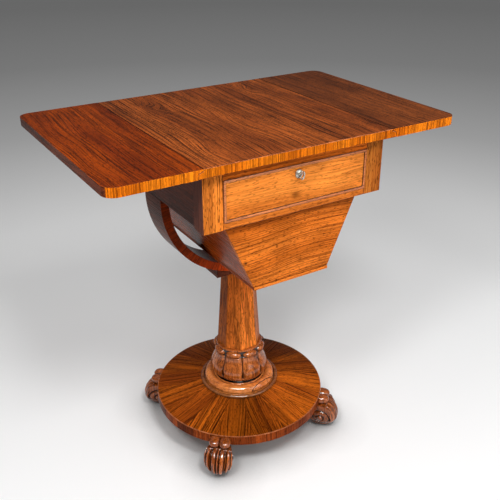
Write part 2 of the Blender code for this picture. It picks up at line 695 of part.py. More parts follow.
# Leaf: the hollow of the rule joint along its inner edge, outer corners rounded, hinge flaps let in below.
gap = RULE_FIT
cove = arc(X_JOINT, Z_HINGE, RULE_R + gap, 0, math.degrees(math.acos(gap / (RULE_R + gap))), 8)
leaf_x = X_JOINT + LEAF_W
leaf = [(X_JOINT + gap, Z_TOP), (leaf_x, Z_TOP), (leaf_x, Z_UNDER), (X_JOINT + RULE_R + gap, Z_UNDER)] + cove
bm = extruded(leaf, "Y", board_y)
corners = [e for e in bm.edges if all(abs(v.co.x - leaf_x) < 1e-6 for v in e.verts)]
corners = [e for e in corners if abs(e.verts[0].co.y - e.verts[1].co.y) < 1e-6]
bmesh.ops.bevel(bm, geom=corners, offset=LEAF_CORNER_R, segments=8, profile=0.5, affect="EDGES")
leaf_blank = place("leaf_blank", mesh_of("leaf_blank", bm, 30.0), ROSEWOOD, None)
let_x = (X_JOINT, X_JOINT + HINGE_LEAF_REACH + FIT)
let_z = (Z_UNDER - OVERCUT, Z_UNDER + HINGE_T + 2 * FIT)
for sy in (-1, 1):
    let_y = (sy * HINGE_Y - HINGE_L / 2 - FIT, sy * HINGE_Y + HINGE_L / 2 + FIT)
    shape(leaf_blank, box("leaf_pocket", let_x, let_y, let_z, None, None))
leaf_mesh = settled(leaf_blank)
tool(leaf_blank)
pair("leaf", leaf_mesh, ROSEWOOD, (LEFT_LEAF, RIGHT_LEAF))


# Table hinges: the fixed flap has two barrels and the pin, the leaf flap has the barrel between them.
flap_z = (Z_UNDER + FIT, Z_UNDER + FIT + HINGE_T)
barrel_l = HINGE_L / 3
flap_y = (-HINGE_L / 2, HINGE_L / 2)
fixed_flap = box("fixed_flap", (X_JOINT - HINGE_TOP_REACH, X_JOINT), flap_y, flap_z, BRASS, None)
pin = rod("hinge_pin", HINGE_PIN_R, "Y", (X_JOINT, -HINGE_L / 2 + 0.001, Z_HINGE), HINGE_L - 0.002, 8)
swing_y = (-barrel_l / 2 - FIT, barrel_l / 2 + FIT)
notch_x = (X_JOINT - HINGE_BARREL_R - RULE_FIT, X_JOINT + OVERCUT)
notch_z = (Z_UNDER - OVERCUT, Z_HINGE + OVERCUT)
shape(fixed_flap, box("flap_notch", notch_x, swing_y, notch_z, None, None))
for start in (-HINGE_L / 2, HINGE_L / 2 - barrel_l + FIT):
    barrel = rod("fixed_barrel", HINGE_BARREL_R, "Y", (X_JOINT, start, Z_HINGE), barrel_l - FIT, 12)
    shape(fixed_flap, place("fixed_barrel", barrel, None, None), "UNION")
shape(fixed_flap, place("hinge_pin", pin, None, None), "UNION")
fixed_mesh = settled(fixed_flap)
tool(fixed_flap)

leaf_flap = box("leaf_flap", (X_JOINT, X_JOINT + HINGE_LEAF_REACH), flap_y, flap_z, BRASS, None)
for ends in ((-HINGE_L, -barrel_l / 2), (barrel_l / 2, HINGE_L)):
    ear_x = (X_JOINT - OVERCUT, X_JOINT + HINGE_BARREL_R + RULE_FIT)
    shape(leaf_flap, box("ear_notch", ear_x, ends, notch_z, None, None))
barrel = rod("leaf_barrel", HINGE_BARREL_R, "Y", (X_JOINT, -barrel_l / 2, Z_HINGE), barrel_l, 12)
shape(leaf_flap, place("leaf_barrel", barrel, None, None), "UNION")
eye = rod("leaf_eye", HINGE_PIN_R + FIT, "Y", (X_JOINT, -HINGE_L, Z_HINGE), 2 * HINGE_L, 8)
shape(leaf_flap, place("leaf_eye", eye, None, None))
flap_mesh = settled(leaf_flap)
tool(leaf_flap)
for end, sy in (("front", -1), ("back", 1)):
    for hand, carrier, turn in (("right", RIGHT_LEAF, 0.0), ("left", LEFT_LEAF, math.pi)):
        where = (0.0, sy * HINGE_Y, 0.0)
        place(f"hinge_top_{end}_{hand}", fixed_mesh, BRASS, CASE, where, turn)
        place(f"hinge_leaf_{end}_{hand}", flap_mesh, BRASS, carrier, where, turn)


# Drawer front: the face stands forward of a rebate that takes the bead.
bm = bmesh.new()
bmesh.ops.create_cube(bm, size=1.0)
front_h = Z_DRAWER_TOP - Z_DRAWER
bmesh.ops.scale(bm, vec=(2 * X_DRAWER, DRAWER_FRONT_T - BEAD_D, front_h), verts=bm.verts)
face = min(bm.faces, key=lambda f: f.calc_center_median().y)
bmesh.ops.inset_region(bm, faces=[face], thickness=BEAD_W + FIT, use_even_offset=True)
grown = bmesh.ops.extrude_face_region(bm, geom=[face])
raised = [e for e in grown["geom"] if isinstance(e, bmesh.types.BMVert)]
bmesh.ops.translate(bm, verts=raised, vec=(0.0, -BEAD_D, 0.0))
bmesh.ops.delete(bm, geom=[face], context="FACES_ONLY")
front_at = (0.0, Y_FRONT + (DRAWER_FRONT_T + BEAD_D) / 2, (Z_DRAWER + Z_DRAWER_TOP) / 2)
drawer_front = place("drawer_front", mesh_of("drawer_front", bm), ROSEWOOD, DRAWER, front_at)
hole_r = KEY_R + KEYHOLE_ROOM
slot_w = KEY_BIT_T / 2 + KEYHOLE_SLOT_ROOM
slot_low = -KEY_BIT_R - KEYHOLE_FOOT_ROOM
slot_at = math.degrees(math.asin(slot_w / hole_r))
keyhole = arc(0.0, 0.0, hole_r, -90 + slot_at, 270 - slot_at, 10)
keyhole += [(-slot_w, slot_low), (slot_w, slot_low)]
turn_key = Matrix.Rotation(KEY_TILT, 2)
keyhole = [tuple(turn_key @ Vector(p)) for p in keyhole]
keyhole = [(x, Z_KEY + z) for x, z in keyhole]
keyhole_y = (Y_FRONT - BOSS_H - OVERCUT, Y_FRONT + DRAWER_FRONT_T + OVERCUT)
shape(drawer_front, prism("keyhole", keyhole, "Y", keyhole_y, None, None))
bead_y = (Y_FRONT - BEAD_PROUD, Y_FRONT + BEAD_D - FIT)
moulding("drawer_bead", X_DRAWER, Z_DRAWER, Z_DRAWER_TOP, *bead_y, DRAWER)

# Drawer box: grooved sides, a bottom that slides into the grooves, and a back that stands on the bottom.
z_side = (Z_LEDGE + FIT, Z_DRAWER_TOP - DRAWER_SIDE_DROP)
z_groove_low = z_side[0] + DRAWER_GROOVE_UP
z_groove = (z_groove_low, z_groove_low + DRAWER_BOTTOM_T + 2 * FIT)
x_inner = x_side - DRAWER_BOARD_T
groove_x = x_inner + DRAWER_GROOVE
drawer_side = [
    (x_side, z_side[0]),
    (x_side, z_side[1]),
    (x_inner, z_side[1]),
    (x_inner, z_groove[1]),
    (groove_x, z_groove[1]),
    (groove_x, z_groove[0]),
    (x_inner, z_groove[0]),
    (x_inner, z_side[0]),
]
box_y = (y_box, panel_y[0] - DRAWER_BACK_ROOM)
prism("drawer_side_right", drawer_side, "Y", box_y, SECONDARY, DRAWER)
prism("drawer_side_left", [(-x, z) for x, z in drawer_side], "Y", box_y, SECONDARY, DRAWER)
in_x = (-x_inner + FIT, x_inner - FIT)
back_z = (z_groove[1], z_side[1] - DRAWER_BACK_DROP)
box("drawer_back", in_x, (box_y[1] - DRAWER_BOARD_T, box_y[1]), back_z, SECONDARY, DRAWER)
bottom_x = (-groove_x + FIT, groove_x - FIT)
box("drawer_bottom", bottom_x, box_y, (z_groove[0] + FIT, z_groove[1] - FIT), SECONDARY, DRAWER)

# Lock: a shallow brass case on the back of the drawer front, open towards the wood, with the bolt inside.
z_lock = (Z_KEY - LOCK_H * 0.60, Z_KEY + LOCK_H * 0.40)
lock_y = (y_box, y_box + LOCK_D)
lock = box("lock_case", (-LOCK_W / 2, LOCK_W / 2), lock_y, z_lock, BRASS, DRAWER)
hollow_x = (-LOCK_W / 2 + LOCK_WALL, LOCK_W / 2 - LOCK_WALL)
hollow_z = (z_lock[0] + LOCK_WALL, z_lock[1] - LOCK_WALL)
shape(lock, box("lock_hollow", hollow_x, (lock_y[0] - OVERCUT, lock_y[1] - LOCK_WALL), hollow_z, None, None))
slot_x = (-BOLT_W / 2 - FIT, BOLT_W / 2 + FIT)
slot_y = (bolt_y[0] - FIT, bolt_y[1])
slot_z = (z_lock[1] - 2 * LOCK_WALL, z_lock[1] + OVERCUT)
shape(lock, box("bolt_slot", slot_x, slot_y, slot_z, None, None))
bolt_top = Z_DRAWER_TOP - BOLT_SINK
bolt_x = (-BOLT_W / 2, BOLT_W / 2)
box("lock_bolt", bolt_x, bolt_y, (bolt_top - BOLT_L, bolt_top), STEEL, DRAWER)

# Escutcheon: a domed boss round the keyhole.
dome = [(0.0, 0.0), (BOSS_R, 0.0), (BOSS_R, BOSS_EDGE)]
dome_h = BOSS_H - BOSS_EDGE
dome += [(BOSS_R * math.cos(a), BOSS_EDGE + dome_h * math.sin(a)) for a in (0.45, 0.85, 1.20)]
dome += [(0.0, BOSS_H)]
bm = spun(dome, 20, closed=False)
bmesh.ops.rotate(bm, verts=bm.verts, cent=(0, 0, 0), matrix=Matrix.Rotation(math.pi / 2, 3, "X"))
boss_at = (0.0, Y_FRONT - FIT, Z_KEY)
boss = place("escutcheon", mesh_of("escutcheon", bm, 40.0), STEEL, DRAWER, boss_at)
shape(boss, bpy.data.objects["keyhole"])

# Key: a round shank with its bit inside the lock, a collar outside the boss and an oval bow.
y_bit = bolt_y[0] - FIT - KEY_BIT_L
y_collar = Y_FRONT - FIT - BOSS_H - FIT - KEY_COLLAR_T
bow_y = y_collar - BOW_W / 2 + BOW_R * 0.4
shank_l = y_bit + KEY_BIT_L - bow_y - BOW_W / 2 + BOW_R
key = place("key", rod("key", KEY_R, "Y", (0, bow_y + BOW_W / 2 - BOW_R, Z_KEY), shank_l, 16), STEEL, KEY)
collar_mesh = rod("key_collar", KEY_COLLAR_R, "Y", (0, y_collar, Z_KEY), KEY_COLLAR_T, 16)
shape(key, place("key_collar", collar_mesh, None, None), "UNION")
bm = bmesh.new()
ring_steps, tube_steps = 16, 8
loops = []
for i in range(ring_steps):
    a = 2 * math.pi * i / ring_steps
    loop = []
    for j in range(tube_steps):
        b = 2 * math.pi * j / tube_steps
        across = BOW_R * math.cos(b)
        spot = Vector((BOW_R * math.sin(b), 0.0, 0.0))
        spot.y = (BOW_W / 2 - BOW_R + across) * math.cos(a)
        spot.z = (BOW_H / 2 - BOW_R + across) * math.sin(a)
        loop.append(bm.verts.new(spot))
    loops.append([bm.edges.new((loop[j], loop[(j + 1) % tube_steps])) for j in range(tube_steps)])
for first, second in zip(loops, loops[1:] + loops[:1]):
    bmesh.ops.bridge_loops(bm, edges=first + second)
bmesh.ops.rotate(bm, verts=bm.verts, cent=(0, 0, 0), matrix=Matrix.Rotation(-KEY_TILT, 3, "Y"))
shape(key, place("key_bow", mesh_of("key_bow", bm, 60.0), None, None, (0.0, bow_y, Z_KEY)), "UNION")
bit = [(-KEY_BIT_T / 2, 0.0), (-KEY_BIT_T / 2, -KEY_BIT_R), (KEY_BIT_T / 2, -KEY_BIT_R), (KEY_BIT_T / 2, 0.0)]
bit = [tuple(turn_key @ Vector(p)) for p in bit]
bit = [(x, Z_KEY + z) for x, z in bit]
shape(key, prism("key_bit", bit, "Y", (y_bit, y_bit + KEY_BIT_L), None, None), "UNION")


# Sliding well: a frame of front rail, grooved bars and back rail, with the tapered box hung below it.
rail_span = (Y_FRONT, Y_FRONT + WELL_RAIL_D)
well_z = (Z_CASE, Z_WELL_TOP)
box("well_rail", (-X_DRAWER, X_DRAWER), rail_span, well_z, ROSEWOOD, WELL)
well_back = panel_y[0] - WELL_BACK_ROOM
bar_y = (rail_span[1] + FIT, well_back)
x_bar = X_DRAWER
bar = [
    (x_bar, well_z[0]),
    (x_bar, z_tongue[0] - SLIDE_FIT),
    (x_tongue - SLIDE_FIT, z_tongue[0] - SLIDE_FIT),
    (x_tongue - SLIDE_FIT, z_tongue[1] + SLIDE_FIT),
    (x_bar, z_tongue[1] + SLIDE_FIT),
    (x_bar, well_z[1]),
    (x_bar - BAR_W, well_z[1]),
    (x_bar - BAR_W, well_z[0]),
]
prism("well_bar_right", bar, "Y", bar_y, SECONDARY, WELL)
prism("well_bar_left", [(-x, z) for x, z in bar], "Y", bar_y, SECONDARY, WELL)
back_x = (-x_bar + BAR_W + FIT, x_bar - BAR_W - FIT)
box("well_back_rail", back_x, (well_back - WELL_RAIL_D / 2, well_back), well_z, SECONDARY, WELL)

# The tapered box reaches down until its lower corners come as near to the yoke as they may.
z_head = Z_CASE - FIT
corner_reach = YOKE_R - YOKE_T - YOKE_ROOM
z_sole = Z_YOKE_AXIS - math.sqrt(corner_reach**2 - (WELL_FOOT_W / 2) ** 2)
z_foot = z_sole + WELL_BOTTOM_T + FIT
slope = (WELL_TOP_W - WELL_FOOT_W) / 2 / (z_head - z_foot)
lean_t = WELL_T * math.hypot(1.0, slope)
taper = [(-WELL_FOOT_W / 2, z_foot), (WELL_FOOT_W / 2, z_foot)]
taper += [(WELL_TOP_W / 2, z_head), (-WELL_TOP_W / 2, z_head)]
well_front = Y_FRONT + WELL_SET_BACK
prism("well_front", taper, "Y", (well_front, well_front + WELL_T), ROSEWOOD, WELL)
prism("well_back", taper, "Y", (well_back - WELL_T, well_back), ROSEWOOD, WELL)
plank = [
    (WELL_FOOT_W / 2, z_foot),
    (WELL_TOP_W / 2, z_head),
    (WELL_TOP_W / 2 - lean_t, z_head),
    (WELL_FOOT_W / 2 - lean_t, z_foot),
]
plank_y = (well_front + WELL_T + FIT, well_back - WELL_T - FIT)
prism("well_side_right", plank, "Y", plank_y, ROSEWOOD_DARK, WELL)
prism("well_side_left", [(-x, z) for x, z in plank], "Y", plank_y, ROSEWOOD_DARK, WELL)
sole_z = (z_sole, z_foot - FIT)
sole_y = (well_front - WELL_BOTTOM_LIP, well_back + WELL_BOTTOM_LIP)
box("well_bottom", (-WELL_FOOT_W / 2, WELL_FOOT_W / 2), sole_y, sole_z, ROSEWOOD, WELL)
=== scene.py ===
import math

import bpy
import numpy as np
from mathutils import Matrix, Vector


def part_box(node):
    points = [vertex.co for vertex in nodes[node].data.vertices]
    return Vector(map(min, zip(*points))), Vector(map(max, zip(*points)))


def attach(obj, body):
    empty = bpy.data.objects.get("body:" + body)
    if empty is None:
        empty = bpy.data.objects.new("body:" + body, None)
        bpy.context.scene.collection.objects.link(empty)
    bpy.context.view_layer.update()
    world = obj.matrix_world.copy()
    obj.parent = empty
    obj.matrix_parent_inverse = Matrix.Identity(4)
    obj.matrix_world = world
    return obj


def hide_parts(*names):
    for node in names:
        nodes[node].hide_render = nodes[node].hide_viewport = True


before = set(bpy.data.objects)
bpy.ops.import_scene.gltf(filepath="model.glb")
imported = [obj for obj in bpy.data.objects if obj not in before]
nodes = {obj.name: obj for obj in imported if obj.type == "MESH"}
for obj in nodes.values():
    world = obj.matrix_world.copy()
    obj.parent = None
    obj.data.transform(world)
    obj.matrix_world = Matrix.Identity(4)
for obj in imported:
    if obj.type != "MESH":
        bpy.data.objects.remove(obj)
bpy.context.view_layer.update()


# The platform is a softwood disc with a low rise to the middle. Its top is veneered in sixteen rosewood
# wedges, each with the grain along its own middle line, and its edge is banded in short lengths.
low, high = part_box("base_disc")
DISC_R, DISC_FOOT, DISC_HUB = high[0], low[2], high[2]
DISC_RIM = DISC_FOOT + 0.0238
HUB_R, TENON_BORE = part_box("base_ring")[1][0] + 0.0002, 0.0203
# Each wedge's tone is partly its own and partly painted shade: the wedges towards the back, under the top, are set
# darker than those at the front.
WEDGE_TONES_AND_SHADE = (0.84, 0.70, 0.40, 0.46, 0.78, 0.96, 0.88, 0.52, 0.36, 0.38, 0.42, 0.48, 0.54, 0.58, 0.66, 0.72)
WEDGES, BAND_LENGTHS = len(WEDGE_TONES_AND_SHADE), 26


def turned(name, outline, steps, closed=True):
    """An outline of (radius, height) points, drawn by extruding one point on, then spun about the upright axis."""
    bpy.ops.object.select_all(action="DESELECT")
    bpy.ops.mesh.primitive_plane_add(size=0.01)
    piece = bpy.context.object
    piece.name = piece.data.name = name
    bpy.ops.object.mode_set(mode="EDIT")
    bpy.ops.mesh.merge(type="CENTER")
    points = [Vector((radius, 0.0, height)) for radius, height in outline]
    bpy.ops.transform.translate(value=points[0])
    for here, there in zip(points, points[1:] + (points[:1] if closed else [])):
        bpy.ops.mesh.extrude_vertices_move(TRANSFORM_OT_translate={"value": there - here})
    bpy.ops.mesh.select_all(action="SELECT")
    bpy.ops.mesh.remove_doubles(threshold=1e-6)
    bpy.ops.mesh.spin(steps=steps, angle=2 * math.pi, center=(0.0, 0.0, 0.0), axis=(0.0, 0.0, 1.0))
    bpy.ops.mesh.select_all(action="SELECT")
    bpy.ops.mesh.remove_doubles(threshold=1e-6)
    bpy.ops.mesh.normals_make_consistent(inside=False)
    bpy.ops.object.mode_set(mode="OBJECT")
    bpy.ops.object.shade_smooth_by_angle(angle=math.radians(40))
    return piece


def tint(red, green, blue):
    """A colour as it looks, 0 to 255, in the linear values that a shader takes."""
    return (*(((c / 255 + 0.055) / 1.055) ** 2.4 for c in (red, green, blue)), 1.0)


def add(tree, kind, feeds, out=0, **settings):
    """One shader node. feeds gives each socket a value or the output of another node."""
    made = tree.nodes.new("ShaderNode" + kind)
    for what, value in settings.items():
        setattr(made, what, value)
    for socket, value in feeds.items():
        if isinstance(value, bpy.types.NodeSocket):
            tree.links.new(value, made.inputs[socket])
        else:
            made.inputs[socket].default_value = value
    return made.outputs[out]


def reckon(tree, operation, *terms):
    return add(tree, "Math", dict(enumerate(terms)), operation=operation)


def ramp(tree, value, start, end, low=0.0, high=1.0):
    """Takes a value from start to end smoothly on to low to high."""
    feeds = {"Value": value, "From Min": start, "From Max": end, "To Min": low, "To Max": high}
    return add(tree, "MapRange", feeds, interpolation_type="SMOOTHSTEP")


def blend(tree, share, first, second):
    return add(tree, "Mix", {0: share, 6: first, 7: second}, out=2, data_type="RGBA")


def speckle(tree, at, along, across, detail=2.0):
    """Noise drawn out along the grain, in patches per metre along it and across it."""
    drawn = add(tree, "VectorMath", {0: at, 1: (along, across, across)}, operation="MULTIPLY")
    return add(tree, "TexNoise", {"Vector": drawn, "Scale": 1.0, "Detail": detail, "Roughness": 0.6})


def rosewood(name, lay, light, mid, dark, lines=0.8, width=110.0, waver=0.025, pores=0.5, flame=0.10, knots=(),
             gloss=0.30, coat=0.0, hollow_shading=0.0):
    """Polished rosewood. lay gives the place in the board as (along, across, into), a tone and the joint lines.
    Dark lines follow the grain, and bend by pull round each knot of (along, across, length, width, pull, stain).
    flame is how much the polish glows and dims over the board."""
    material = bpy.data.materials.new(name)
    material.use_nodes = True
    tree = material.node_tree
    shader = tree.nodes["Principled BSDF"]
    place, tone, joints = lay(tree)
    parts = tree.nodes.new("ShaderNodeSeparateXYZ")
    tree.links.new(place, parts.inputs[0])
    along, across, into = parts.outputs
    black = tuple(c * 0.22 for c in dark[:3]) + (1.0,)
    stains = []
    bend = reckon(tree, "SUBTRACT", speckle(tree, place, 3.0, 8.0), 0.5)
    across = reckon(tree, "MULTIPLY_ADD", bend, waver, across)
    for u, v, long, wide, pull, stain in knots:
        off_u = reckon(tree, "DIVIDE", reckon(tree, "SUBTRACT", along, u), long)
        off_v = reckon(tree, "DIVIDE", reckon(tree, "SUBTRACT", parts.outputs[1], v), wide)
        near = reckon(tree, "ADD", reckon(tree, "MULTIPLY", off_u, off_u), reckon(tree, "MULTIPLY", off_v, off_v))
        near = reckon(tree, "EXPONENT", reckon(tree, "MULTIPLY", near, -1.0))
        across = reckon(tree, "MULTIPLY_ADD", near, pull, across)
        if stain:
            stains.append(reckon(tree, "MULTIPLY", near, stain))
    figure = add(tree, "CombineXYZ", {0: along, 1: across, 2: into})
    year = ramp(tree, speckle(tree, figure, 2.0, width, 3.0), 0.49, 0.61)
    thread = ramp(tree, speckle(tree, figure, 9.0, width * 2.5), 0.51, 0.63)
    fine = speckle(tree, figure, 7.0, width * 4.5)
    zone = speckle(tree, figure, 1.6, 15.0, 1.0)
    pore = ramp(tree, speckle(tree, place, 130.0, 560.0, 0.0), 0.60, 0.72)
    body = reckon(tree, "ADD", reckon(tree, "MULTIPLY", fine, 0.4), reckon(tree, "MULTIPLY", zone, 0.6))
    colour = blend(tree, ramp(tree, body, 0.38, 0.62), mid, light)
    colour = blend(tree, reckon(tree, "MULTIPLY", thread, lines * 0.8), colour, dark)
    colour = blend(tree, reckon(tree, "MULTIPLY", year, lines * 0.6), colour, dark)
    colour = blend(tree, reckon(tree, "MULTIPLY", pore, pores), colour, black)
    shine = ramp(tree, speckle(tree, place, 12.0, 22.0, 2.0), 0.34, 0.66, 1.0 - flame, 1.0 + flame)
    # The lay's tone is the wood's own tone, and for some lays painted light and shade as well.
    if tone is not None:
        shine = reckon(tree, "MULTIPLY", shine, tone)
    colour = add(tree, "HueSaturation", {"Value": shine, "Color": colour})
    for stain in stains:
        colour = blend(tree, stain, colour, black)
    if joints is not None:
        colour = blend(tree, joints, colour, black)
    # Painted shade: points marked as lying in a hollow are darkened towards near black.
    if hollow_shading:
        painted_hollow_shade = add(tree, "Attribute", {}, out=2, attribute_name="painted_hollow_shade")
        colour = blend(tree, reckon(tree, "MULTIPLY", painted_hollow_shade, hollow_shading), colour, tint(16, 8, 6))
    tree.links.new(colour, shader.inputs["Base Color"])
    tree.links.new(ramp(tree, fine, 0.3, 0.7, gloss - 0.05, gloss + 0.09), shader.inputs["Roughness"])
    shader.inputs["Specular IOR Level"].default_value = 0.05
    shader.inputs["Specular Tint"].default_value = tint(255, 206, 170)
    shader.inputs["Coat Weight"].default_value = coat
    shader.inputs["Coat Roughness"].default_value = 0.11
    shader.inputs["Coat IOR"].default_value = 1.55
    lift = reckon(tree, "SUBTRACT", reckon(tree, "MULTIPLY", fine, 0.25), pore)
    raised = add(tree, "Bump", {"Strength": 0.12, "Distance": 0.0004, "Height": lift})
    tree.links.new(raised, shader.inputs["Normal"])
    return material


def wedge_lay(tree):
    """The place in a wedge, measured along its middle line and across it, with a tone for each wedge that is partly
    its own and partly painted shade.
    """
    parts = tree.nodes.new("ShaderNodeSeparateXYZ")
    tree.links.new(add(tree, "TexCoord", {}, out=3), parts.inputs[0])
    x, y, z = parts.outputs
    step = 2 * math.pi / WEDGES
    turn = reckon(tree, "ARCTAN2", y, x)
    number = reckon(tree, "FLOOR", reckon(tree, "DIVIDE", turn, step))
    middle = reckon(tree, "MULTIPLY", reckon(tree, "ADD", number, 0.5), step)
    off = reckon(tree, "SUBTRACT", turn, middle)
    reach = reckon(tree, "SQRT", reckon(tree, "ADD", reckon(tree, "MULTIPLY", x, x), reckon(tree, "MULTIPLY", y, y)))
    along = reckon(tree, "MULTIPLY", reach, reckon(tree, "COSINE", off))
    across = reckon(tree, "MULTIPLY", reach, reckon(tree, "SINE", off))
    place = add(tree, "CombineXYZ", {0: along, 1: across, 2: reckon(tree, "MULTIPLY", number, 0.731)})
    tones = tree.nodes.new("ShaderNodeValToRGB")
    stops = tones.color_ramp.elements
    stops[0].position, stops[1].position = 0.5 / WEDGES, (WEDGES - 0.5) / WEDGES
    for k in range(1, WEDGES - 1):
        stops.new((k + 0.5) / WEDGES)
    for stop, grey in zip(stops, WEDGE_TONES_AND_SHADE):
        stop.color = (grey / 2, grey / 2, grey / 2, 1.0)
    tree.links.new(reckon(tree, "MULTIPLY_ADD", turn, 0.5 / math.pi, 0.5), tones.inputs[0])
    tone = reckon(tree, "MULTIPLY", tones.outputs[0], 2.0)
    edge = reckon(tree, "SUBTRACT", step / 2, reckon(tree, "ABSOLUTE", off))
    joints = ramp(tree, reckon(tree, "MULTIPLY", reach, edge), 0.0006, 0.0002, 0.0, 0.6)
    return place, tone, joints


def band_lay(tree):
    """Upright grain round the platform's edge, in short lengths of veneer with a tone for each."""
    parts = tree.nodes.new("ShaderNodeSeparateXYZ")
    tree.links.new(add(tree, "TexCoord", {}, out=3), parts.inputs[0])
    x, y, z = parts.outputs
    turn = reckon(tree, "ARCTAN2", y, x)
    length = reckon(tree, "MULTIPLY", turn, BAND_LENGTHS / (2 * math.pi))
    number = reckon(tree, "FLOOR", length)
    tone = ramp(tree, add(tree, "TexWhiteNoise", {"W": number}, noise_dimensions="1D"), 0.0, 1.0, 0.62, 1.2)
    joints = ramp(tree, reckon(tree, "FRACT", length), 0.03, 0.01, 0.0, 0.6)
    return add(tree, "CombineXYZ", {0: z, 1: reckon(tree, "MULTIPLY", turn, DISC_R), 2: number}), tone, joints


def straight(along, across, seed=0.0):
    """The lay of a board whose grain runs along one axis, with its face turned to the two axes named."""
    unit = {"X": Vector((1, 0, 0)), "Y": Vector((0, 1, 0)), "Z": Vector((0, 0, 1))}
    rows = (unit[along], unit[across], unit[along].cross(unit[across]))
    turn = Matrix(rows).to_euler()

    def lay(tree):
        here = add(tree, "TexCoord", {}, out=3)
        return add(tree, "Mapping", {"Vector": here, "Rotation": turn, "Location": (0.0, 0.0, seed)}), None, None

    return lay


arris = 0.0012
platform = turned(
    "platform",
    [
        (TENON_BORE, DISC_HUB),
        (HUB_R, DISC_HUB),
        (DISC_R - 1.4 * arris, DISC_RIM),
        (DISC_R - 0.4 * arris, DISC_RIM - 0.4 * arris),
        (DISC_R, DISC_RIM - 1.4 * arris),
        (DISC_R, DISC_FOOT + arris),
        (DISC_R - arris, DISC_FOOT),
        (TENON_BORE, DISC_FOOT),
    ],
    180,
)
# A lighter wood for the arrises: partly wear, partly a painted highlight along the rounded edges.
worn_and_highlit_wood = rosewood("arris with wear and painted highlight", straight("Y", "X", 0.9), tint(190, 116, 72), tint(160, 90, 52),
                     tint(92, 46, 26), lines=0.6)
for finish in (
    rosewood("wedge veneer", wedge_lay, tint(222, 112, 26), tint(166, 76, 18), tint(44, 14, 4), lines=1.05,
             width=310.0, waver=0.016, pores=0.55),
    rosewood("edge veneer", band_lay, tint(148, 66, 22), tint(112, 46, 16), tint(48, 16, 6), lines=0.8,
             width=220.0),
    worn_and_highlit_wood,
):
    platform.data.materials.append(finish)
# The upper arris of the rim gets the lighter arris wood: wear and painted highlight.
for face in platform.data.polygons:
    at_edge = math.hypot(*face.center[:2]) > DISC_R - 1.2 * arris
    face.material_index = 0 if not at_edge else 2 if face.center.z > DISC_RIM - 1.4 * arris else 1
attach(platform, "case")
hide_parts("base_disc")


# Four carved feet, each from one block of rosewood: a ribbed scroll that rolls down to a narrow toe, a volute
# on either cheek, and two rolled lobes above a fillet. They are screwed up into the platform from below.
SCROLL_R, SCROLL_X, SCROLL_Z = 0.0345, DISC_R + 0.0080, 0.0339
FOOT_W, FOOT_TOP, FEET_TURN = 0.0620, DISC_FOOT, 2.0
RIB_CUTS, RIB_CUT_DEPTHS, RIB_CUT_W = (0.11, 0.48, 0.60, 0.88), (0.0046, 0.0046, 0.0046, 0.0020), 0.055
EYE_X, EYE_Z, EYE_R = -0.0046, -0.0040, 0.0088
VOLUTE_START, VOLUTE_EVEN, VOLUTE_WIDE, VOLUTE_END, VOLUTE_OUT = 149.0, 250.0, 380.0, 520.0, 0.0112


def board(name, outline, low, high):
    """An outline of (x, z) points filled and drawn out along Y from low to high."""
    bpy.ops.object.select_all(action="DESELECT")
    bpy.ops.mesh.primitive_plane_add(size=0.01)
    piece = bpy.context.object
    piece.name = piece.data.name = name
    bpy.ops.object.mode_set(mode="EDIT")
    bpy.ops.mesh.merge(type="CENTER")
    points = [Vector((x, low, z)) for x, z in outline]
    bpy.ops.transform.translate(value=points[0])
    for here, there in zip(points, points[1:] + points[:1]):
        bpy.ops.mesh.extrude_vertices_move(TRANSFORM_OT_translate={"value": there - here})
    bpy.ops.mesh.select_all(action="SELECT")
    bpy.ops.mesh.remove_doubles(threshold=1e-6)
    bpy.ops.mesh.edge_face_add()
    bpy.ops.mesh.extrude_region_move(TRANSFORM_OT_translate={"value": (0.0, high - low, 0.0)})
    bpy.ops.mesh.select_all(action="SELECT")
    bpy.ops.mesh.normals_make_consistent(inside=False)
    bpy.ops.object.mode_set(mode="OBJECT")
    return piece


def places_of(piece):
    here = np.empty(len(piece.data.vertices) * 3)
    piece.data.vertices.foreach_get("co", here)
    return here.reshape(-1, 3)


def carve(piece, moved):
    piece.data.vertices.foreach_set("co", moved.ravel())
    piece.data.update()


def cut(piece, other, operation):
    """Joins another solid to a piece or takes it away, and deletes the other."""
    bpy.ops.object.select_all(action="DESELECT")
    piece.select_set(True)
    bpy.context.view_layer.objects.active = piece
    step = piece.modifiers.new("cut", "BOOLEAN")
    step.operation = operation
    step.solver = "EXACT"
    step.object = other
    bpy.ops.object.modifier_apply(modifier=step.name)
    bpy.data.objects.remove(other)


# Keeps a painted shade value on each point.
def keep_hollow_shade(piece, values):
    kept = piece.data.attributes.new("painted_hollow_shade", "FLOAT", "POINT")
    kept.data.foreach_set("value", values)


def mark_hollow_shade(piece, reach):
    """Keeps on each point how far it lies in a hollow of the carving, for painted shade that darkens there."""
    mesh = piece.data
    here = places_of(piece)
    ends = np.empty(len(mesh.edges) * 2, int)
    mesh.edges.foreach_get("vertices", ends)
    first, second = ends.reshape(-1, 2).T
    facing = np.empty(len(here) * 3)
    mesh.vertex_normals.foreach_get("vector", facing)
    facing = facing.reshape(-1, 3)
    span = here[second] - here[first]
    length = np.maximum(np.linalg.norm(span, axis=1), 1e-7)
    sink = np.zeros(len(here))
    count = np.zeros(len(here))
    for one, way in ((first, 1.0), (second, -1.0)):
        np.add.at(sink, one, way * np.einsum("ij,ij->i", span, facing[one]) / length**2)
        np.add.at(count, one, 1.0)
    sink = np.clip(sink / np.maximum(count, 1.0) * reach, 0.0, 1.0)
    for _ in range(3):
        spread = sink.copy()
        for one, other in ((first, second), (second, first)):
            np.maximum.at(spread, one, sink[other] * 0.75)
        sink = spread
    keep_hollow_shade(piece, sink)


def scroll_half_width(turn):
    front = np.maximum(0.0, np.cos(0.76 * (turn - 0.60)))
    return FOOT_W / 2 * (0.51 + 0.49 * front**1.5)


def groove(distance, width):
    return np.exp(-((distance / width) ** 2))


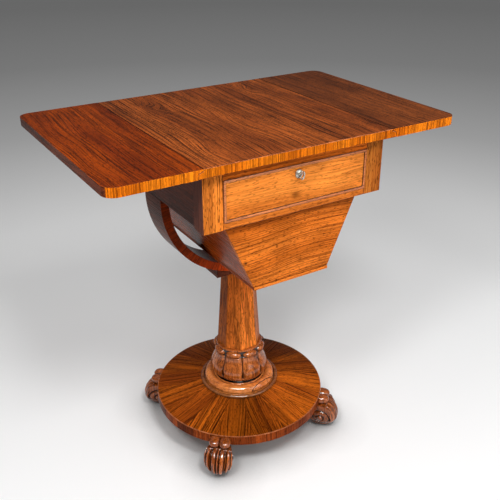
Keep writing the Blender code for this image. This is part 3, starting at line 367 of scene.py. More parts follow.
cheek = [(SCROLL_R * q, 1.0) for q in np.linspace(0.0, 1.0, 46)]
wall = [(SCROLL_R, s) for s in np.linspace(-1.0, 1.0, 141)]
foot = turned("foot", [(r, -1.0) for r, _ in cheek] + wall[1:-1] + cheek[::-1], 144, closed=False)
blank = places_of(foot)
turn = np.arctan2(blank[:, 1], blank[:, 0])
share = np.hypot(blank[:, 0], blank[:, 1]) / SCROLL_R
s = blank[:, 2]
on_cheek = np.abs(s) > 0.9999
degrees = np.degrees(turn)
degrees = np.where(degrees < -100.0, degrees + 360.0, degrees)
round_off = 0.78 - 0.42 / (1.0 + np.exp((50.0 - degrees) / 8.0)) / (1.0 + np.exp((degrees - 215.0) / 8.0))
crown = np.sqrt(1.0 - (round_off * s) ** 2)
cuts = np.max([d * groove(np.abs(s) - c, RIB_CUT_W) for c, d in zip(RIB_CUTS, RIB_CUT_DEPTHS)], axis=0)
ribs = np.max([1.0 - ((np.abs(s) - (a + b) / 2) / ((b - a) / 2)) ** 2
               for a, b in zip((-0.11, *RIB_CUTS), (*RIB_CUTS, 1.1))], axis=0)
below_fillet = 1.0 / (1.0 + np.exp(degrees - 73.0)) + 1.0 / (1.0 + np.exp((225.0 - degrees) / 5.0))
fillet = np.exp(-((degrees - 78.0) / 3.4) ** 4)
reach = SCROLL_R * crown + below_fillet * (0.0014 * np.clip(ribs, 0, 1) - cuts) + 0.0016 * fillet
reach = np.where(on_cheek, share * SCROLL_R * np.sqrt(1.0 - round_off**2), reach)
x, z = reach * np.cos(turn), reach * np.sin(turn)
tuck = np.clip((-20.0 - degrees) / 60.0, 0.0, 1.0) + np.clip((degrees - 200.0) / 60.0, 0.0, 1.0)
x -= 0.0078 * share**2 * tuck
rim = scroll_half_width(turn)
flare = share**2.2
half = np.where(on_cheek, flare * rim + (1.0 - flare) * 0.0275, rim)
eye_off = np.hypot(x - EYE_X, z - EYE_Z)
eye_turn = np.degrees(np.arctan2(z - EYE_Z, x - EYE_X))
first_round = np.mod(VOLUTE_START - eye_turn, 360.0)
volute, hollow_way = np.zeros(len(x)), np.zeros(len(x))
for round_on in (first_round, first_round + 360.0):
    grown = np.clip((round_on - VOLUTE_EVEN) / (VOLUTE_WIDE - VOLUTE_EVEN), 0.0, 1.0)
    line = EYE_R + VOLUTE_OUT * grown**2 * (3 - 2 * grown) + 2.6e-5 * np.maximum(0.0, round_on - VOLUTE_WIDE)
    on_line = round_on <= VOLUTE_END
    volute = np.maximum(volute, np.where(on_line, groove(eye_off - line, 0.0016), 0.0))
    hollow_way = np.maximum(hollow_way, np.where(on_line, groove(eye_off - line, 0.0055), 0.0))
inside_rim = np.clip((1.0 - share) / 0.10, 0.0, 1.0)
half = half - np.where(on_cheek, inside_rim * (0.0030 * volute + 0.0022 * hollow_way), 0.0)
carve(foot, np.stack([SCROLL_X + x, s * half, np.maximum(SCROLL_Z + z, 0.0)], axis=1))
bpy.ops.object.mode_set(mode="EDIT")
bpy.ops.mesh.select_all(action="SELECT")
bpy.ops.mesh.normals_make_consistent(inside=False)
bpy.ops.object.mode_set(mode="OBJECT")

NECK_LOW, NECK_HALF = 0.0313, 0.0127
neck = [(SCROLL_X, NECK_LOW)]
neck += [(SCROLL_X - 0.0640 + 0.0275 * math.cos(a), NECK_LOW + 0.0275 * math.sin(a))
         for a in np.linspace(0.0, math.pi / 2, 13)]
neck += [(SCROLL_X - 0.0640, FOOT_TOP + 0.0022), (SCROLL_X, FOOT_TOP + 0.0022)]
cut(foot, board("foot_neck", neck, -NECK_HALF, NECK_HALF), "UNION")
for side in (-1, 1):
    bpy.ops.object.select_all(action="DESELECT")
    bpy.ops.mesh.primitive_uv_sphere_add(segments=41 + 2 * side, ring_count=29 + 2 * side, radius=1.0)
    lobe = bpy.context.object
    ball = places_of(lobe)
    swell = np.sign(ball) * np.abs(ball) ** (0.95, 0.80, 0.90)
    carve(lobe, swell * (0.0176, 0.0126, 0.0094) + (SCROLL_X - 0.0041, side * 0.0111, FOOT_TOP + 0.0117))
    cut(foot, lobe, "UNION")
seat = [(0.0, 0.1400), (DISC_R + 0.0003, 0.1400), (DISC_R + 0.0003, FOOT_TOP - 0.0003), (0.0, FOOT_TOP - 0.0003)]
cut(foot, turned("foot_seat", seat, 180, closed=False), "DIFFERENCE")
bpy.ops.object.mode_set(mode="EDIT")
bpy.ops.mesh.select_all(action="SELECT")
bpy.ops.mesh.remove_doubles(threshold=2e-5)
bpy.ops.mesh.fill_holes(sides=6)
bpy.ops.object.mode_set(mode="OBJECT")
bpy.ops.object.shade_smooth_by_angle(angle=math.radians(60))
# Painted shade in the grooves of the ribs and volutes, by how far each point lies in a hollow.
mark_hollow_shade(foot, 0.0058)


carved_wood = rosewood("carved rosewood", straight("Z", "X", 0.3), tint(182, 94, 32), tint(134, 64, 22),
                       tint(54, 21, 8), lines=0.7, width=150.0, pores=0.3, gloss=0.24, coat=1.0, hollow_shading=0.97)
foot.data.materials.clear()
foot.data.materials.append(carved_wood)
for where, quarter in (("front_right", -45), ("back_right", 45), ("back_left", 135), ("front_left", 225)):
    scroll_foot = foot.copy()
    scroll_foot.data = foot.data.copy()
    scroll_foot.name = scroll_foot.data.name = "scroll_foot_" + where
    bpy.context.collection.objects.link(scroll_foot)
    scroll_foot.data.transform(Matrix.Rotation(math.radians(quarter + FEET_TURN), 4, "Z"))
    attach(scroll_foot, "case")
    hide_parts("foot_" + where)
bpy.data.objects.remove(foot)


# The base ring is turned in one piece of rosewood: an outer bead, a broad torus and a small neck ring. It is
# glued down over the point of the wedges, and an old shake runs slantwise over the torus on the right.
low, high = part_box("base_ring")
RING_FOOT, RING_TOP = low[2], high[2]
BEAD_R = 0.0038
BEAD_AT = high[0] - BEAD_R
TORUS_AT, TORUS_Z, TORUS_R = high[0] - 0.0207, low[2] + 0.0103, 0.0110
NECK_AT, NECK_Z, NECK_R = 0.0568, high[2] - 0.0075, 0.0020


def sweep(cx, cz, r, start, end, steps):
    return [(cx + r * math.cos(a), cz + r * math.sin(a)) for a in np.radians(np.linspace(start, end, steps))]


ring = [(TENON_BORE, RING_FOOT)]
ring += sweep(BEAD_AT, RING_FOOT + BEAD_R, BEAD_R, -80, 172, 22)
ring += [(BEAD_AT - BEAD_R, RING_FOOT + 0.0026), (BEAD_AT - BEAD_R - 0.0022, RING_FOOT + 0.0026)]
ring += sweep(TORUS_AT, TORUS_Z, TORUS_R, -30, 146, 40)
ring += [(NECK_AT + 0.0022, NECK_Z - 0.0034), (NECK_AT + 0.0012, NECK_Z - 0.0034)]
ring += sweep(NECK_AT, NECK_Z, NECK_R, -70, 85, 12)
ring += [(NECK_AT - 0.0020, NECK_Z + 0.0012), (NECK_AT - 0.0050, NECK_Z + 0.0012)]
ring += [(NECK_AT - 0.0055, RING_TOP), (TENON_BORE, RING_TOP)]
base_ring = turned("turned_base_ring", ring, 160)
here = places_of(base_ring)
r, z = np.hypot(here[:, 0], here[:, 1]), here[:, 2]
# Painted shade in the grooves beside the bead and the neck ring, under the collar's foot and under the bead.
outer_groove_shade = np.exp(-(((r - BEAD_AT + BEAD_R + 0.0008) / 0.0016) ** 4)) * (z < RING_FOOT + 0.0060)
inner_groove_shade = np.exp(-(((r - NECK_AT - 0.0022) / 0.0010) ** 4)) * (z < NECK_Z)
shade_under_collar = np.clip((NECK_AT - 0.0002 - r) / 0.0008, 0.0, 1.0)
shade_under_bead = np.clip((RING_FOOT + 0.0020 - z) / 0.0012, 0.0, 1.0) * (r > BEAD_AT)
keep_hollow_shade(base_ring, np.max([outer_groove_shade, inner_groove_shade, shade_under_collar, shade_under_bead], axis=0))


def ring_lay(tree):
    """Grain straight through the ring, a darker bead round it, and the shake as a joint line."""
    here = add(tree, "TexCoord", {}, out=3)
    place = add(tree, "Mapping", {"Vector": here, "Rotation": (0.0, 0.0, 0.6)})
    parts = tree.nodes.new("ShaderNodeSeparateXYZ")
    tree.links.new(here, parts.inputs[0])
    x, y, z = parts.outputs
    wander = reckon(tree, "MULTIPLY", speckle(tree, here, 90.0, 90.0), 0.0020)
    off = reckon(tree, "ADD", reckon(tree, "MULTIPLY", x, -0.253), reckon(tree, "MULTIPLY", y, 0.967))
    off = reckon(tree, "ABSOLUTE", reckon(tree, "ADD", reckon(tree, "ADD", off, wander), 0.0720))
    line = ramp(tree, off, 0.0009, 0.0003)
    front = reckon(tree, "GREATER_THAN", x, -0.022)
    raised = reckon(tree, "GREATER_THAN", z, RING_FOOT + 0.0085)
    reach = reckon(tree, "SQRT", reckon(tree, "ADD", reckon(tree, "MULTIPLY", x, x), reckon(tree, "MULTIPLY", y, y)))
    tone = ramp(tree, reach, BEAD_AT - BEAD_R - 0.0010, BEAD_AT - BEAD_R, 1.0, 0.36)
    return place, tone, reckon(tree, "MULTIPLY", line, reckon(tree, "MULTIPLY", front, raised))


base_ring.data.materials.append(
    rosewood("turned rosewood", ring_lay, tint(236, 144, 70), tint(202, 108, 46), tint(100, 42, 14), lines=0.5,
             width=130.0, pores=0.4, gloss=0.20, coat=1.0, hollow_shading=1.0)
)
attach(base_ring, "case")
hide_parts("base_ring")


# The lotus collar is carved from a turned bowl: eight petals with a rolled lip, parted by a cut that opens
# into a drop-shaped hollow near the foot. The column stands in the plain ring at its top.
low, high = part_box("lotus_collar")
COLLAR_R, COLLAR_FOOT, COLLAR_H = high[0] - 0.0010, low[2], high[2] - low[2]
PETALS, COLLAR_MOUTH = 8, 0.0515

levels = np.concatenate([np.linspace(0.0, 0.70, 46), np.linspace(0.71, 0.955, 40), np.linspace(0.965, 1.0, 6)])
bowl = [(TENON_BORE, COLLAR_FOOT)] + [(COLLAR_R, COLLAR_FOOT + COLLAR_H * level) for level in levels]
bowl += [(TENON_BORE, COLLAR_FOOT + COLLAR_H)]
collar = turned("carved_collar", bowl, 256)
blank = places_of(collar)
turn = np.arctan2(blank[:, 1], blank[:, 0])
level = (blank[:, 2] - COLLAR_FOOT) / COLLAR_H
outer = np.hypot(blank[:, 0], blank[:, 1]) > COLLAR_R * 0.6
petal = 2 * math.pi / PETALS
off = (turn - np.round(turn / petal) * petal) / (petal / 2)
gap = (1.0 - np.abs(off)) * petal / 2 * COLLAR_R
rising = 0.0532 + 0.0118 * (0.5 + 0.5 * np.cos(math.pi * np.clip((level - 0.22) / 0.50, 0.0, 1.0)))
belly = np.where(level > 0.22, rising, 0.0650 - 0.0075 * np.clip((0.22 - level) / 0.22, 0.0, 1.0) ** 2.2)
belly -= 0.0015 * off**4
belly -= 0.0050 * np.clip(1.0 - level / 0.035, 0.0, 1.0) ** 2
drop = np.exp(-(((level - 0.20) / 0.12) ** 2))
below = np.clip((level - 0.085) / 0.045, 0.0, 1.0)
slit = 0.0011 + 0.0022 * drop + 0.0011 * np.clip((level - 0.55) / 0.2, 0.0, 1.0)
parted = below * np.exp(-((gap / slit) ** 2))
belly -= (0.0028 + 0.0030 * drop) * parted
bean_level = 0.850 - 0.012 * off**2
bean_out = 1.0 - ((level - bean_level) / 0.100) ** 2 - (np.abs(off) / 0.88) ** 2.4
bean = np.where(level > 0.70, 0.0494 + 0.0092 * np.clip(bean_out, 0.0, 1.0) ** 0.5, 0.0)
notch = np.clip((level - 0.735) / 0.03, 0.0, 1.0)
r = np.maximum(belly * (1.0 - notch) + 0.0494 * notch, bean)
lip = np.clip((level - 0.945) / 0.012, 0.0, 1.0)
r = r * (1.0 - lip) + COLLAR_MOUTH * lip
r = np.where(level > 0.99, COLLAR_MOUTH - 0.0006, r)
moved = np.stack([r * np.cos(turn), r * np.sin(turn), blank[:, 2]], axis=1)
carve(collar, np.where(outer[:, None], moved, blank))
# Painted shade in the notches between the beans, down the cuts between the petals and at the foot of the bowl.
notch_shade = np.clip((0.0520 - r) / 0.0018, 0.0, 1.0) * ((level > 0.73) & (level < 0.945))
keep_hollow_shade(collar, np.max([parted * (level < 0.78), notch_shade, np.clip(1.0 - level / 0.03, 0.0, 1.0)], axis=0))
bpy.ops.object.shade_smooth_by_angle(angle=math.radians(60))
collar.data.materials.append(
    rosewood("collar rosewood", straight("Z", "X", 0.2), tint(208, 116, 48), tint(158, 78, 29), tint(60, 24, 9),
             lines=0.7, width=150.0, pores=0.4, gloss=0.24, coat=0.85, hollow_shading=0.97)
)
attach(collar, "case")
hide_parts("lotus_collar")


# The column tapers upwards with eight flats of rosewood veneer on a solid core. A turned tenon goes down
# through collar and ring into the platform, and the saddle sits on its head.
def worked(node, name, arris, body, slot, *finishes):
    """A board of the frame with its sharp edges eased, as hand finishing leaves them."""
    mesh = nodes[node].data.copy()
    mesh.name = name
    mesh.materials.clear()
    piece = bpy.data.objects.new(name, mesh)
    bpy.context.collection.objects.link(piece)
    bpy.ops.object.select_all(action="DESELECT")
    piece.select_set(True)
    bpy.context.view_layer.objects.active = piece
    bpy.ops.mesh.customdata_custom_splitnormals_clear()
    bpy.ops.object.mode_set(mode="EDIT")
    bpy.ops.mesh.select_all(action="SELECT")
    bpy.ops.mesh.remove_doubles(threshold=1e-6)
    bpy.ops.mesh.dissolve_limited(angle_limit=math.radians(0.5))
    bpy.ops.object.mode_set(mode="OBJECT")
    bpy.ops.object.shade_smooth()
    ease = piece.modifiers.new("ease", "BEVEL")
    ease.width = arris
    ease.segments = 2
    ease.limit_method = "ANGLE"
    ease.angle_limit = math.radians(32)
    ease.harden_normals = True
    bpy.ops.object.modifier_apply(modifier=ease.name)
    for finish in finishes:
        mesh.materials.append(finish)
    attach(piece, body)
    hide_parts(node)
    return piece


def facet_lay_with_painted_light(tree):
    """Upright grain with painted light and shade: the flat that faces front is painted lighter than the rest, and the
    left one darker.
    """
    place, _, _ = straight("Z", "X", 0.7)(tree)
    parts = tree.nodes.new("ShaderNodeSeparateXYZ")
    tree.links.new(add(tree, "TexCoord", {}, out=3), parts.inputs[0])
    turn = reckon(tree, "ARCTAN2", parts.outputs[1], parts.outputs[0])
    flat = reckon(tree, "FLOOR", reckon(tree, "MULTIPLY_ADD", turn, 4 / math.pi, 0.5))
    front = reckon(tree, "COMPARE", flat, -2.0, 0.5)
    left = reckon(tree, "COMPARE", reckon(tree, "ABSOLUTE", flat), 4.0, 0.5)
    tone = reckon(tree, "MULTIPLY_ADD", front, 0.32, reckon(tree, "MULTIPLY_ADD", left, -0.30, 1.0))
    return place, tone, None


worked("column", "eight_sided_column", 0.0007, "case", "rosewood",
       rosewood("column veneer with painted light", facet_lay_with_painted_light, tint(234, 130, 48), tint(194, 98, 34), tint(74, 30, 10), lines=0.8,
                width=170.0, waver=0.010))


# The yoke is a half hoop built up of bent laminations, with cross-cut veneer on its two edges and dark long
# veneer inside and out. It stands on a hollowed saddle block and its ends are tenoned into the case.
YOKE_R, YOKE_T, YOKE_D, YOKE_Z, YOKE_TOP = 0.1885, 0.0175, 0.0700, 0.6000, 0.6087
dark_wood = rosewood("dark rosewood", straight("Y", "Z", 0.5), tint(112, 56, 36), tint(84, 40, 28),
                     tint(38, 16, 10), lines=0.6, gloss=0.28)
worked("saddle_block", "saddle", 0.0006, "case", "rosewood_dark", dark_wood)


def hoop_lay(tree):
    """Grain across the hoop's edge, pointing to its middle, in short lengths of veneer, with painted shade darker
    towards its top.
    """
    parts = tree.nodes.new("ShaderNodeSeparateXYZ")
    tree.links.new(add(tree, "TexCoord", {}, out=3), parts.inputs[0])
    x, y, z = parts.outputs
    up = reckon(tree, "SUBTRACT", z, YOKE_Z)
    reach = reckon(tree, "SQRT", reckon(tree, "ADD", reckon(tree, "MULTIPLY", x, x), reckon(tree, "MULTIPLY", up, up)))
    turn = reckon(tree, "ARCTAN2", up, x)
    round_it = reckon(tree, "MULTIPLY", turn, YOKE_R)
    length = reckon(tree, "DIVIDE", round_it, 0.118)
    number = reckon(tree, "FLOOR", length)
    tone = ramp(tree, add(tree, "TexWhiteNoise", {"W": number}, noise_dimensions="1D"), 0.0, 1.0, 0.85, 1.1)
    # Painted shade: the edge is painted darker near the top of the hoop, under the case and leaves, and lighter near
    # its foot.
    tone = reckon(tree, "MULTIPLY", tone, ramp(tree, up, -0.05, -YOKE_R, 0.55, 1.5))
    inside = reckon(tree, "MULTIPLY", reckon(tree, "FRACT", length), 0.118)
    joints = ramp(tree, inside, 0.0009, 0.0003, 0.0, 0.7)
    return add(tree, "CombineXYZ", {0: reach, 1: round_it, 2: y}), tone, joints


bpy.ops.object.select_all(action="DESELECT")
bpy.ops.mesh.primitive_plane_add(size=1.0, location=(YOKE_R - YOKE_T / 2, 0.0, YOKE_Z))
yoke = bpy.context.object
yoke.name = yoke.data.name = "hoop_yoke"
bpy.ops.object.mode_set(mode="EDIT")
bpy.ops.transform.resize(value=(YOKE_T, YOKE_D, 1.0))
bpy.ops.mesh.spin(steps=112, angle=math.pi, center=(0.0, 0.0, YOKE_Z), axis=(0.0, -1.0, 0.0))
bpy.ops.mesh.select_all(action="SELECT")
bpy.ops.mesh.normals_make_consistent(inside=False)
bpy.ops.mesh.select_all(action="DESELECT")
bpy.ops.object.mode_set(mode="OBJECT")
bpy.ops.object.transform_apply(location=True, rotation=True, scale=True)
for face in yoke.data.polygons:
    face.select = face.normal.z > 0.99 and face.center.z > YOKE_Z - 1e-4
bpy.ops.object.mode_set(mode="EDIT")
bpy.ops.mesh.extrude_region_move(TRANSFORM_OT_translate={"value": (0.0, 0.0, YOKE_TOP - YOKE_Z)})
bpy.ops.object.mode_set(mode="OBJECT")
bpy.ops.object.shade_smooth()
ease = yoke.modifiers.new("ease", "BEVEL")
ease.width, ease.segments, ease.limit_method, ease.harden_normals = 0.0007, 2, "ANGLE", True
ease.angle_limit = math.radians(32)
bpy.ops.object.modifier_apply(modifier=ease.name)
yoke.data.materials.append(dark_wood)
yoke.data.materials.append(
    rosewood("cross-cut veneer", hoop_lay, tint(184, 66, 14), tint(132, 44, 9), tint(48, 14, 4), lines=0.6,
             width=260.0, waver=0.008)
)
for face in yoke.data.polygons:
    face.material_index = 1 if abs(face.normal.y) > 0.5 else 0
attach(yoke, "case")
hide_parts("yoke")


# The case: four square posts of straight upright grain, two dark sides with the leaf supports in a rebate,
# a beaded panel at the back, and the rail over the drawer. Everything is tenoned and glued.
# The post sides that face left and right get a darker copy of the wood: painted shade.
painted_shade_wood = rosewood("post side rosewood with painted shade", straight("Z", "Y", 0.6), tint(118, 62, 44), tint(92, 46, 34),
                       tint(46, 20, 14), lines=0.6, width=160.0)
# Painted shade: the right posts take the left posts' colours at 0.76, as the light falls off to the right.
for hand, painted_light in (("left", 1.0), ("right", 0.76)):
    post_wood = rosewood(hand + " post rosewood with painted light", straight("Z", "X", 0.2 * painted_light),
                         tint(240 * painted_light, 140 * painted_light, 52 * painted_light), tint(220 * painted_light, 116 * painted_light, 36 * painted_light),
                         tint(112, 44, 8), lines=0.85, width=210.0, waver=0.006, pores=0.65)
    for end in ("front", "back"):
        post = worked(f"post_{end}_{hand}", f"{end}_{hand}_post", 0.0006, "case", "rosewood", post_wood, painted_shade_wood)
        for face in post.data.polygons:
            face.material_index = 1 if abs(face.normal.x) > 0.5 else 0
for hand in ("left", "right"):
    worked("case_side_" + hand, hand + "_side", 0.0005, "case", "rosewood_dark", dark_wood)
    worked("fly_rail_" + hand, hand + "_fly_rail", 0.0005, "case", "rosewood_dark", dark_wood)
    worked("fly_bracket_" + hand, hand + "_fly_bracket", 0.0006, hand + "_fly", "rosewood_dark", dark_wood)

panel_wood = rosewood("panel rosewood", straight("X", "Z", 0.9), tint(240, 142, 58), tint(214, 112, 38),
                      tint(140, 62, 18), lines=0.6, width=150.0, waver=0.03)
bead_wood = rosewood("bead rosewood", straight("X", "Z", 0.5), tint(206, 118, 58), tint(180, 96, 44),
                     tint(104, 44, 16), lines=0.4, width=200.0, gloss=0.26, coat=0.8, hollow_shading=0.92)
rail_wood = rosewood("rail rosewood", straight("X", "Z", 0.1), tint(220, 108, 28), tint(184, 84, 18),
                     tint(64, 24, 6), lines=0.7, width=220.0, waver=0.008)
worked("back_panel", "beaded_back", 0.0004, "case", "rosewood", panel_wood)
back_bead = worked("back_bead", "back_bead_moulding", 0.0003, "case", "rosewood", bead_wood)


def shade_bead_flanks(bead, node, depth):
    """Painted shade in the corners beside a bead, by the depth of each point below its round. The side that runs
    past the neighbouring wood gets less of it."""
    low, high = (np.array(corner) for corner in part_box(node))
    off = np.abs(places_of(bead) - (low + high) / 2)
    past_neighbour = ((high - low) / 2 - off)[:, [0, 2]].min(axis=1) < 0.0004
    keep_hollow_shade(bead, np.clip(depth / 0.0009 - 0.2, 0.0, 1.0) * np.where(past_neighbour, 0.6, 1.0))


shade_bead_flanks(back_bead, "back_bead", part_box("back_bead")[1][1] - places_of(back_bead)[:, 1])
worked("top_rail", "rail_over_drawer", 0.0004, "case", "rosewood_dark", rail_wood)


# Inside the case the runners, bearers and drawer lining are quartered oak, planed and left unpolished. The
# runner carries the drawer on its ledge and the well on the tongue below.
def oak(name, lay):
    """Plain oak with open pores and pale flecks, dry to the touch."""
    material = bpy.data.materials.new(name)
    material.use_nodes = True
    tree = material.node_tree
    shader = tree.nodes["Principled BSDF"]
    place, _, _ = lay(tree)
    band = speckle(tree, place, 3.0, 130.0, 3.0)
    fleck = ramp(tree, speckle(tree, place, 40.0, 160.0, 1.0), 0.60, 0.72)
    pore = ramp(tree, speckle(tree, place, 60.0, 1200.0, 0.0), 0.58, 0.70)
    colour = blend(tree, ramp(tree, band, 0.35, 0.65), tint(158, 116, 72), tint(186, 144, 94))
    colour = blend(tree, reckon(tree, "MULTIPLY", fleck, 0.4), colour, tint(204, 166, 118))
    colour = blend(tree, reckon(tree, "MULTIPLY", pore, 0.6), colour, tint(92, 62, 36))
    tree.links.new(colour, shader.inputs["Base Color"])
    tree.links.new(ramp(tree, band, 0.3, 0.7, 0.55, 0.70), shader.inputs["Roughness"])
    shader.inputs["Specular IOR Level"].default_value = 0.3
    raised = add(tree, "Bump", {"Strength": 0.25, "Distance": 0.0003, "Height": reckon(tree, "SUBTRACT", band, pore)})
    tree.links.new(raised, shader.inputs["Normal"])
    return material


oak_long = oak("oak along the case", straight("Y", "Z"))
oak_cross = oak("oak across the case", straight("X", "Z"))
for hand in ("left", "right"):
    worked("runner_" + hand, hand + "_runner", 0.0003, "case", "secondary_oak", oak_long)
    worked("bearer_" + hand, hand + "_bearer", 0.0004, "case", "secondary_oak", oak_long)


# The top and its leaves are solid boards with the grain from front to back. Their long edges are worked to a
# rule joint, their outer edges are banded with upright veneer, and the arrises are worn round.
SEAM_X = 0.1980
edge_wood = rosewood("edge banding", straight("Z", "X", 0.0), tint(236, 128, 20), tint(202, 98, 10),
                     tint(74, 26, 4), lines=0.8, width=290.0, waver=0.003, pores=0.3, flame=0.14)
end_wood = rosewood("leaf edge", straight("Y", "Z", 0.4), tint(120, 58, 34), tint(92, 44, 30), tint(44, 20, 14))


def seamed(seed):
    """Grain from front to back, with the old polish gone dark along the rule joint."""

    def lay(tree):
        place, _, _ = straight("Y", "X", seed)(tree)
        parts = tree.nodes.new("ShaderNodeSeparateXYZ")
        tree.links.new(place, parts.inputs[0])
        off = reckon(tree, "SUBTRACT", reckon(tree, "ABSOLUTE", parts.outputs[1]), SEAM_X)
        return place, None, ramp(tree, reckon(tree, "ABSOLUTE", off), 0.0018, 0.0005, 0.0, 0.85)

    return lay


centre_knots = ((0.115, -0.116, 0.040, 0.014, 0.016, 0.0), (0.150, -0.125, 0.026, 0.010, 0.014, 0.3),
                (0.155, 0.120, 0.045, 0.016, 0.018, 0.0), (-0.060, -0.030, 0.080, 0.022, 0.018, 0.0),
                (-0.165, -0.147, 0.060, 0.028, 0.012, 0.0))
centre_wood = rosewood("top rosewood", seamed(0.0), tint(168, 84, 32), tint(126, 58, 21), tint(34, 12, 5),
                       lines=1.15, width=300.0, waver=0.040, pores=0.5, flame=0.14, knots=centre_knots, gloss=0.36)
left_wood = rosewood("left leaf rosewood", seamed(0.3), tint(158, 64, 5), tint(116, 41, 3), tint(38, 10, 1),
                     lines=1.0, width=300.0, waver=0.03, pores=0.5, flame=0.14, gloss=0.36)
right_wood = rosewood("right leaf rosewood", seamed(0.6), tint(142, 72, 30), tint(108, 52, 21), tint(40, 16, 6),
                      lines=1.0, width=260.0, waver=0.04, gloss=0.36)
for node, name, body, wood in (("top_centre", "fixed_top", "case", centre_wood),
                               ("leaf_left", "left_leaf_board", "left_leaf", left_wood),
                               ("leaf_right", "right_leaf_board", "right_leaf", right_wood)):
    top_board = worked(node, name, 0.0010, body, "rosewood", wood, edge_wood, end_wood, worn_and_highlit_wood)
    for face in top_board.data.polygons:
        tilt = face.normal
        outer = abs(face.center.x) > 0.335
        if abs(tilt.z) > 0.97 or (not outer and abs(tilt.y) < 0.2):
            face.material_index = 0
        # Bevel faces that tilt up get the lighter arris wood, which is wear and painted highlight; those that tilt
        # down stay plain.
        elif abs(tilt.z) > 0.25:
            face.material_index = 3 if tilt.z > 0 else 0
        else:
            face.material_index = 1 if abs(tilt.y) > 0.6 else 2


# Brass table hinges, two to each leaf, let in flush below the boards and left dull. Three slotted screws hold
# each flap, with their heads a hair below it, and each slot stops where the driver left it.
def metal(name, bright, dull, smooth, mottle):
    """Handled metal: a clean colour that goes dull in patches, with fine rub marks."""
    material = bpy.data.materials.new(name)
    material.use_nodes = True
    tree = material.node_tree
    shader = tree.nodes["Principled BSDF"]
    here = add(tree, "TexCoord", {}, out=3)
    patch = ramp(tree, speckle(tree, here, mottle, mottle, 3.0), 0.35, 0.65)
    rub = speckle(tree, here, mottle * 3, mottle * 30, 2.0)
    tree.links.new(blend(tree, patch, bright, dull), shader.inputs["Base Color"])
    rough = reckon(tree, "MULTIPLY_ADD", rub, 0.18, smooth)
    tree.links.new(reckon(tree, "MULTIPLY_ADD", patch, 0.12, rough), shader.inputs["Roughness"])
    shader.inputs["Metallic"].default_value = 1.0
    raised = add(tree, "Bump", {"Strength": 0.05, "Distance": 0.0002, "Height": rub})
    tree.links.new(raised, shader.inputs["Normal"])
    return material


hinge_brass = metal("hinge brass", tint(196, 158, 88), tint(140, 106, 56), 0.24, 130.0)
pin_steel = metal("pin steel", tint(190, 188, 184), tint(130, 126, 120), 0.18, 200.0)
for node in nodes:
    if node.startswith("hinge_"):
        nodes[node].data.materials[0] = hinge_brass
    if node.startswith("fly_pin_"):
        nodes[node].data.materials[0] = pin_steel

SCREW_R, SCREW_HEAD, SLOT_W = 0.0021, 0.00026, 0.0006
FLAP_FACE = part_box("top_centre")[0][2] + 0.0003
flaps = [(end, hand, flap) for end in ("front", "back") for hand in ("left", "right") for flap in ("top", "leaf")]
for end, hand, flap in flaps:
    low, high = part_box(f"hinge_{flap}_{end}_{hand}")
    away = 0.169 if flap == "top" else 0.240
    inner = away + 0.015 * (1 if flap == "top" else -1)
    for number, (x, y) in enumerate(((away, -0.010), (away, 0.010), (inner, 0.0))):
        centre = Vector((x if hand == "right" else -x, (low[1] + high[1]) / 2 + y, FLAP_FACE - SCREW_HEAD / 2))
        bpy.ops.object.select_all(action="DESELECT")
        bpy.ops.mesh.primitive_cylinder_add(vertices=24, radius=SCREW_R, depth=SCREW_HEAD, location=centre)
        screw = bpy.context.object
        screw.name = screw.data.name = f"hinge_screw_{flap}_{end}_{hand}_{number + 1}"
        bpy.ops.object.transform_apply(location=True, rotation=True, scale=True)
        slot = board("slot", [(-SLOT_W / 2, -0.001), (SLOT_W / 2, -0.001), (SLOT_W / 2, 0.0), (-SLOT_W / 2, 0.0)],
                     -2 * SCREW_R, 2 * SCREW_R)
        slot.data.transform(Matrix.Translation(centre) @ Matrix.Rotation(x * 90.0 + y * 70.0 + number, 4, "Z"))
        cut(screw, slot, "DIFFERENCE")
        screw.data.materials.clear()
        screw.data.materials.append(hinge_brass)
        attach(screw, f"{hand}_leaf" if flap == "leaf" else "case")

# The drawer: a rosewood front with a proud cock bead round it, dovetailed to oak sides, and an oak bottom
# slid into grooves. It runs on the case's ledges.
drawer_wood = rosewood("drawer rosewood", straight("X", "Z", 0.0), tint(236, 142, 58), tint(214, 118, 42),
                       tint(140, 62, 14), lines=0.5, width=230.0, waver=0.012, pores=0.45, flame=0.13,
                       knots=((-0.005, 0.642, 0.011, 0.008, 0.004, 0.72), (0.085, 0.650, 0.050, 0.025, 0.006, 0.0)))
worked("drawer_front", "drawer_face", 0.0004, "drawer", "rosewood", drawer_wood)
cock_bead = worked("drawer_bead", "cock_bead", 0.0003, "drawer", "rosewood", bead_wood)
shade_bead_flanks(cock_bead, "drawer_bead", places_of(cock_bead)[:, 1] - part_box("drawer_bead")[0][1])
for hand in ("left", "right"):
    worked("drawer_side_" + hand, hand + "_drawer_side", 0.0004, "drawer", "secondary_oak", oak_long)
worked("drawer_back", "drawer_back_board", 0.0004, "drawer", "secondary_oak", oak_cross)
worked("drawer_bottom", "drawer_bottom_board", 0.0003, "drawer", "secondary_oak", oak_cross)


# The lock is a brass box let into the drawer front, with a steel bolt, a nickel boss for an escutcheon and a
# small key with an oval bow that stays in it.
nickel = metal("nickel", tint(206, 204, 198), tint(160, 156, 146), 0.14, 300.0)
nodes["lock_case"].data.materials[0] = hinge_brass
nodes["lock_bolt"].data.materials[0] = pin_steel
worked("escutcheon", "keyhole_boss", 0.0003, "drawer", "steel", nickel)
worked("key", "drawer_key", 0.0002, "key", "steel", nickel)


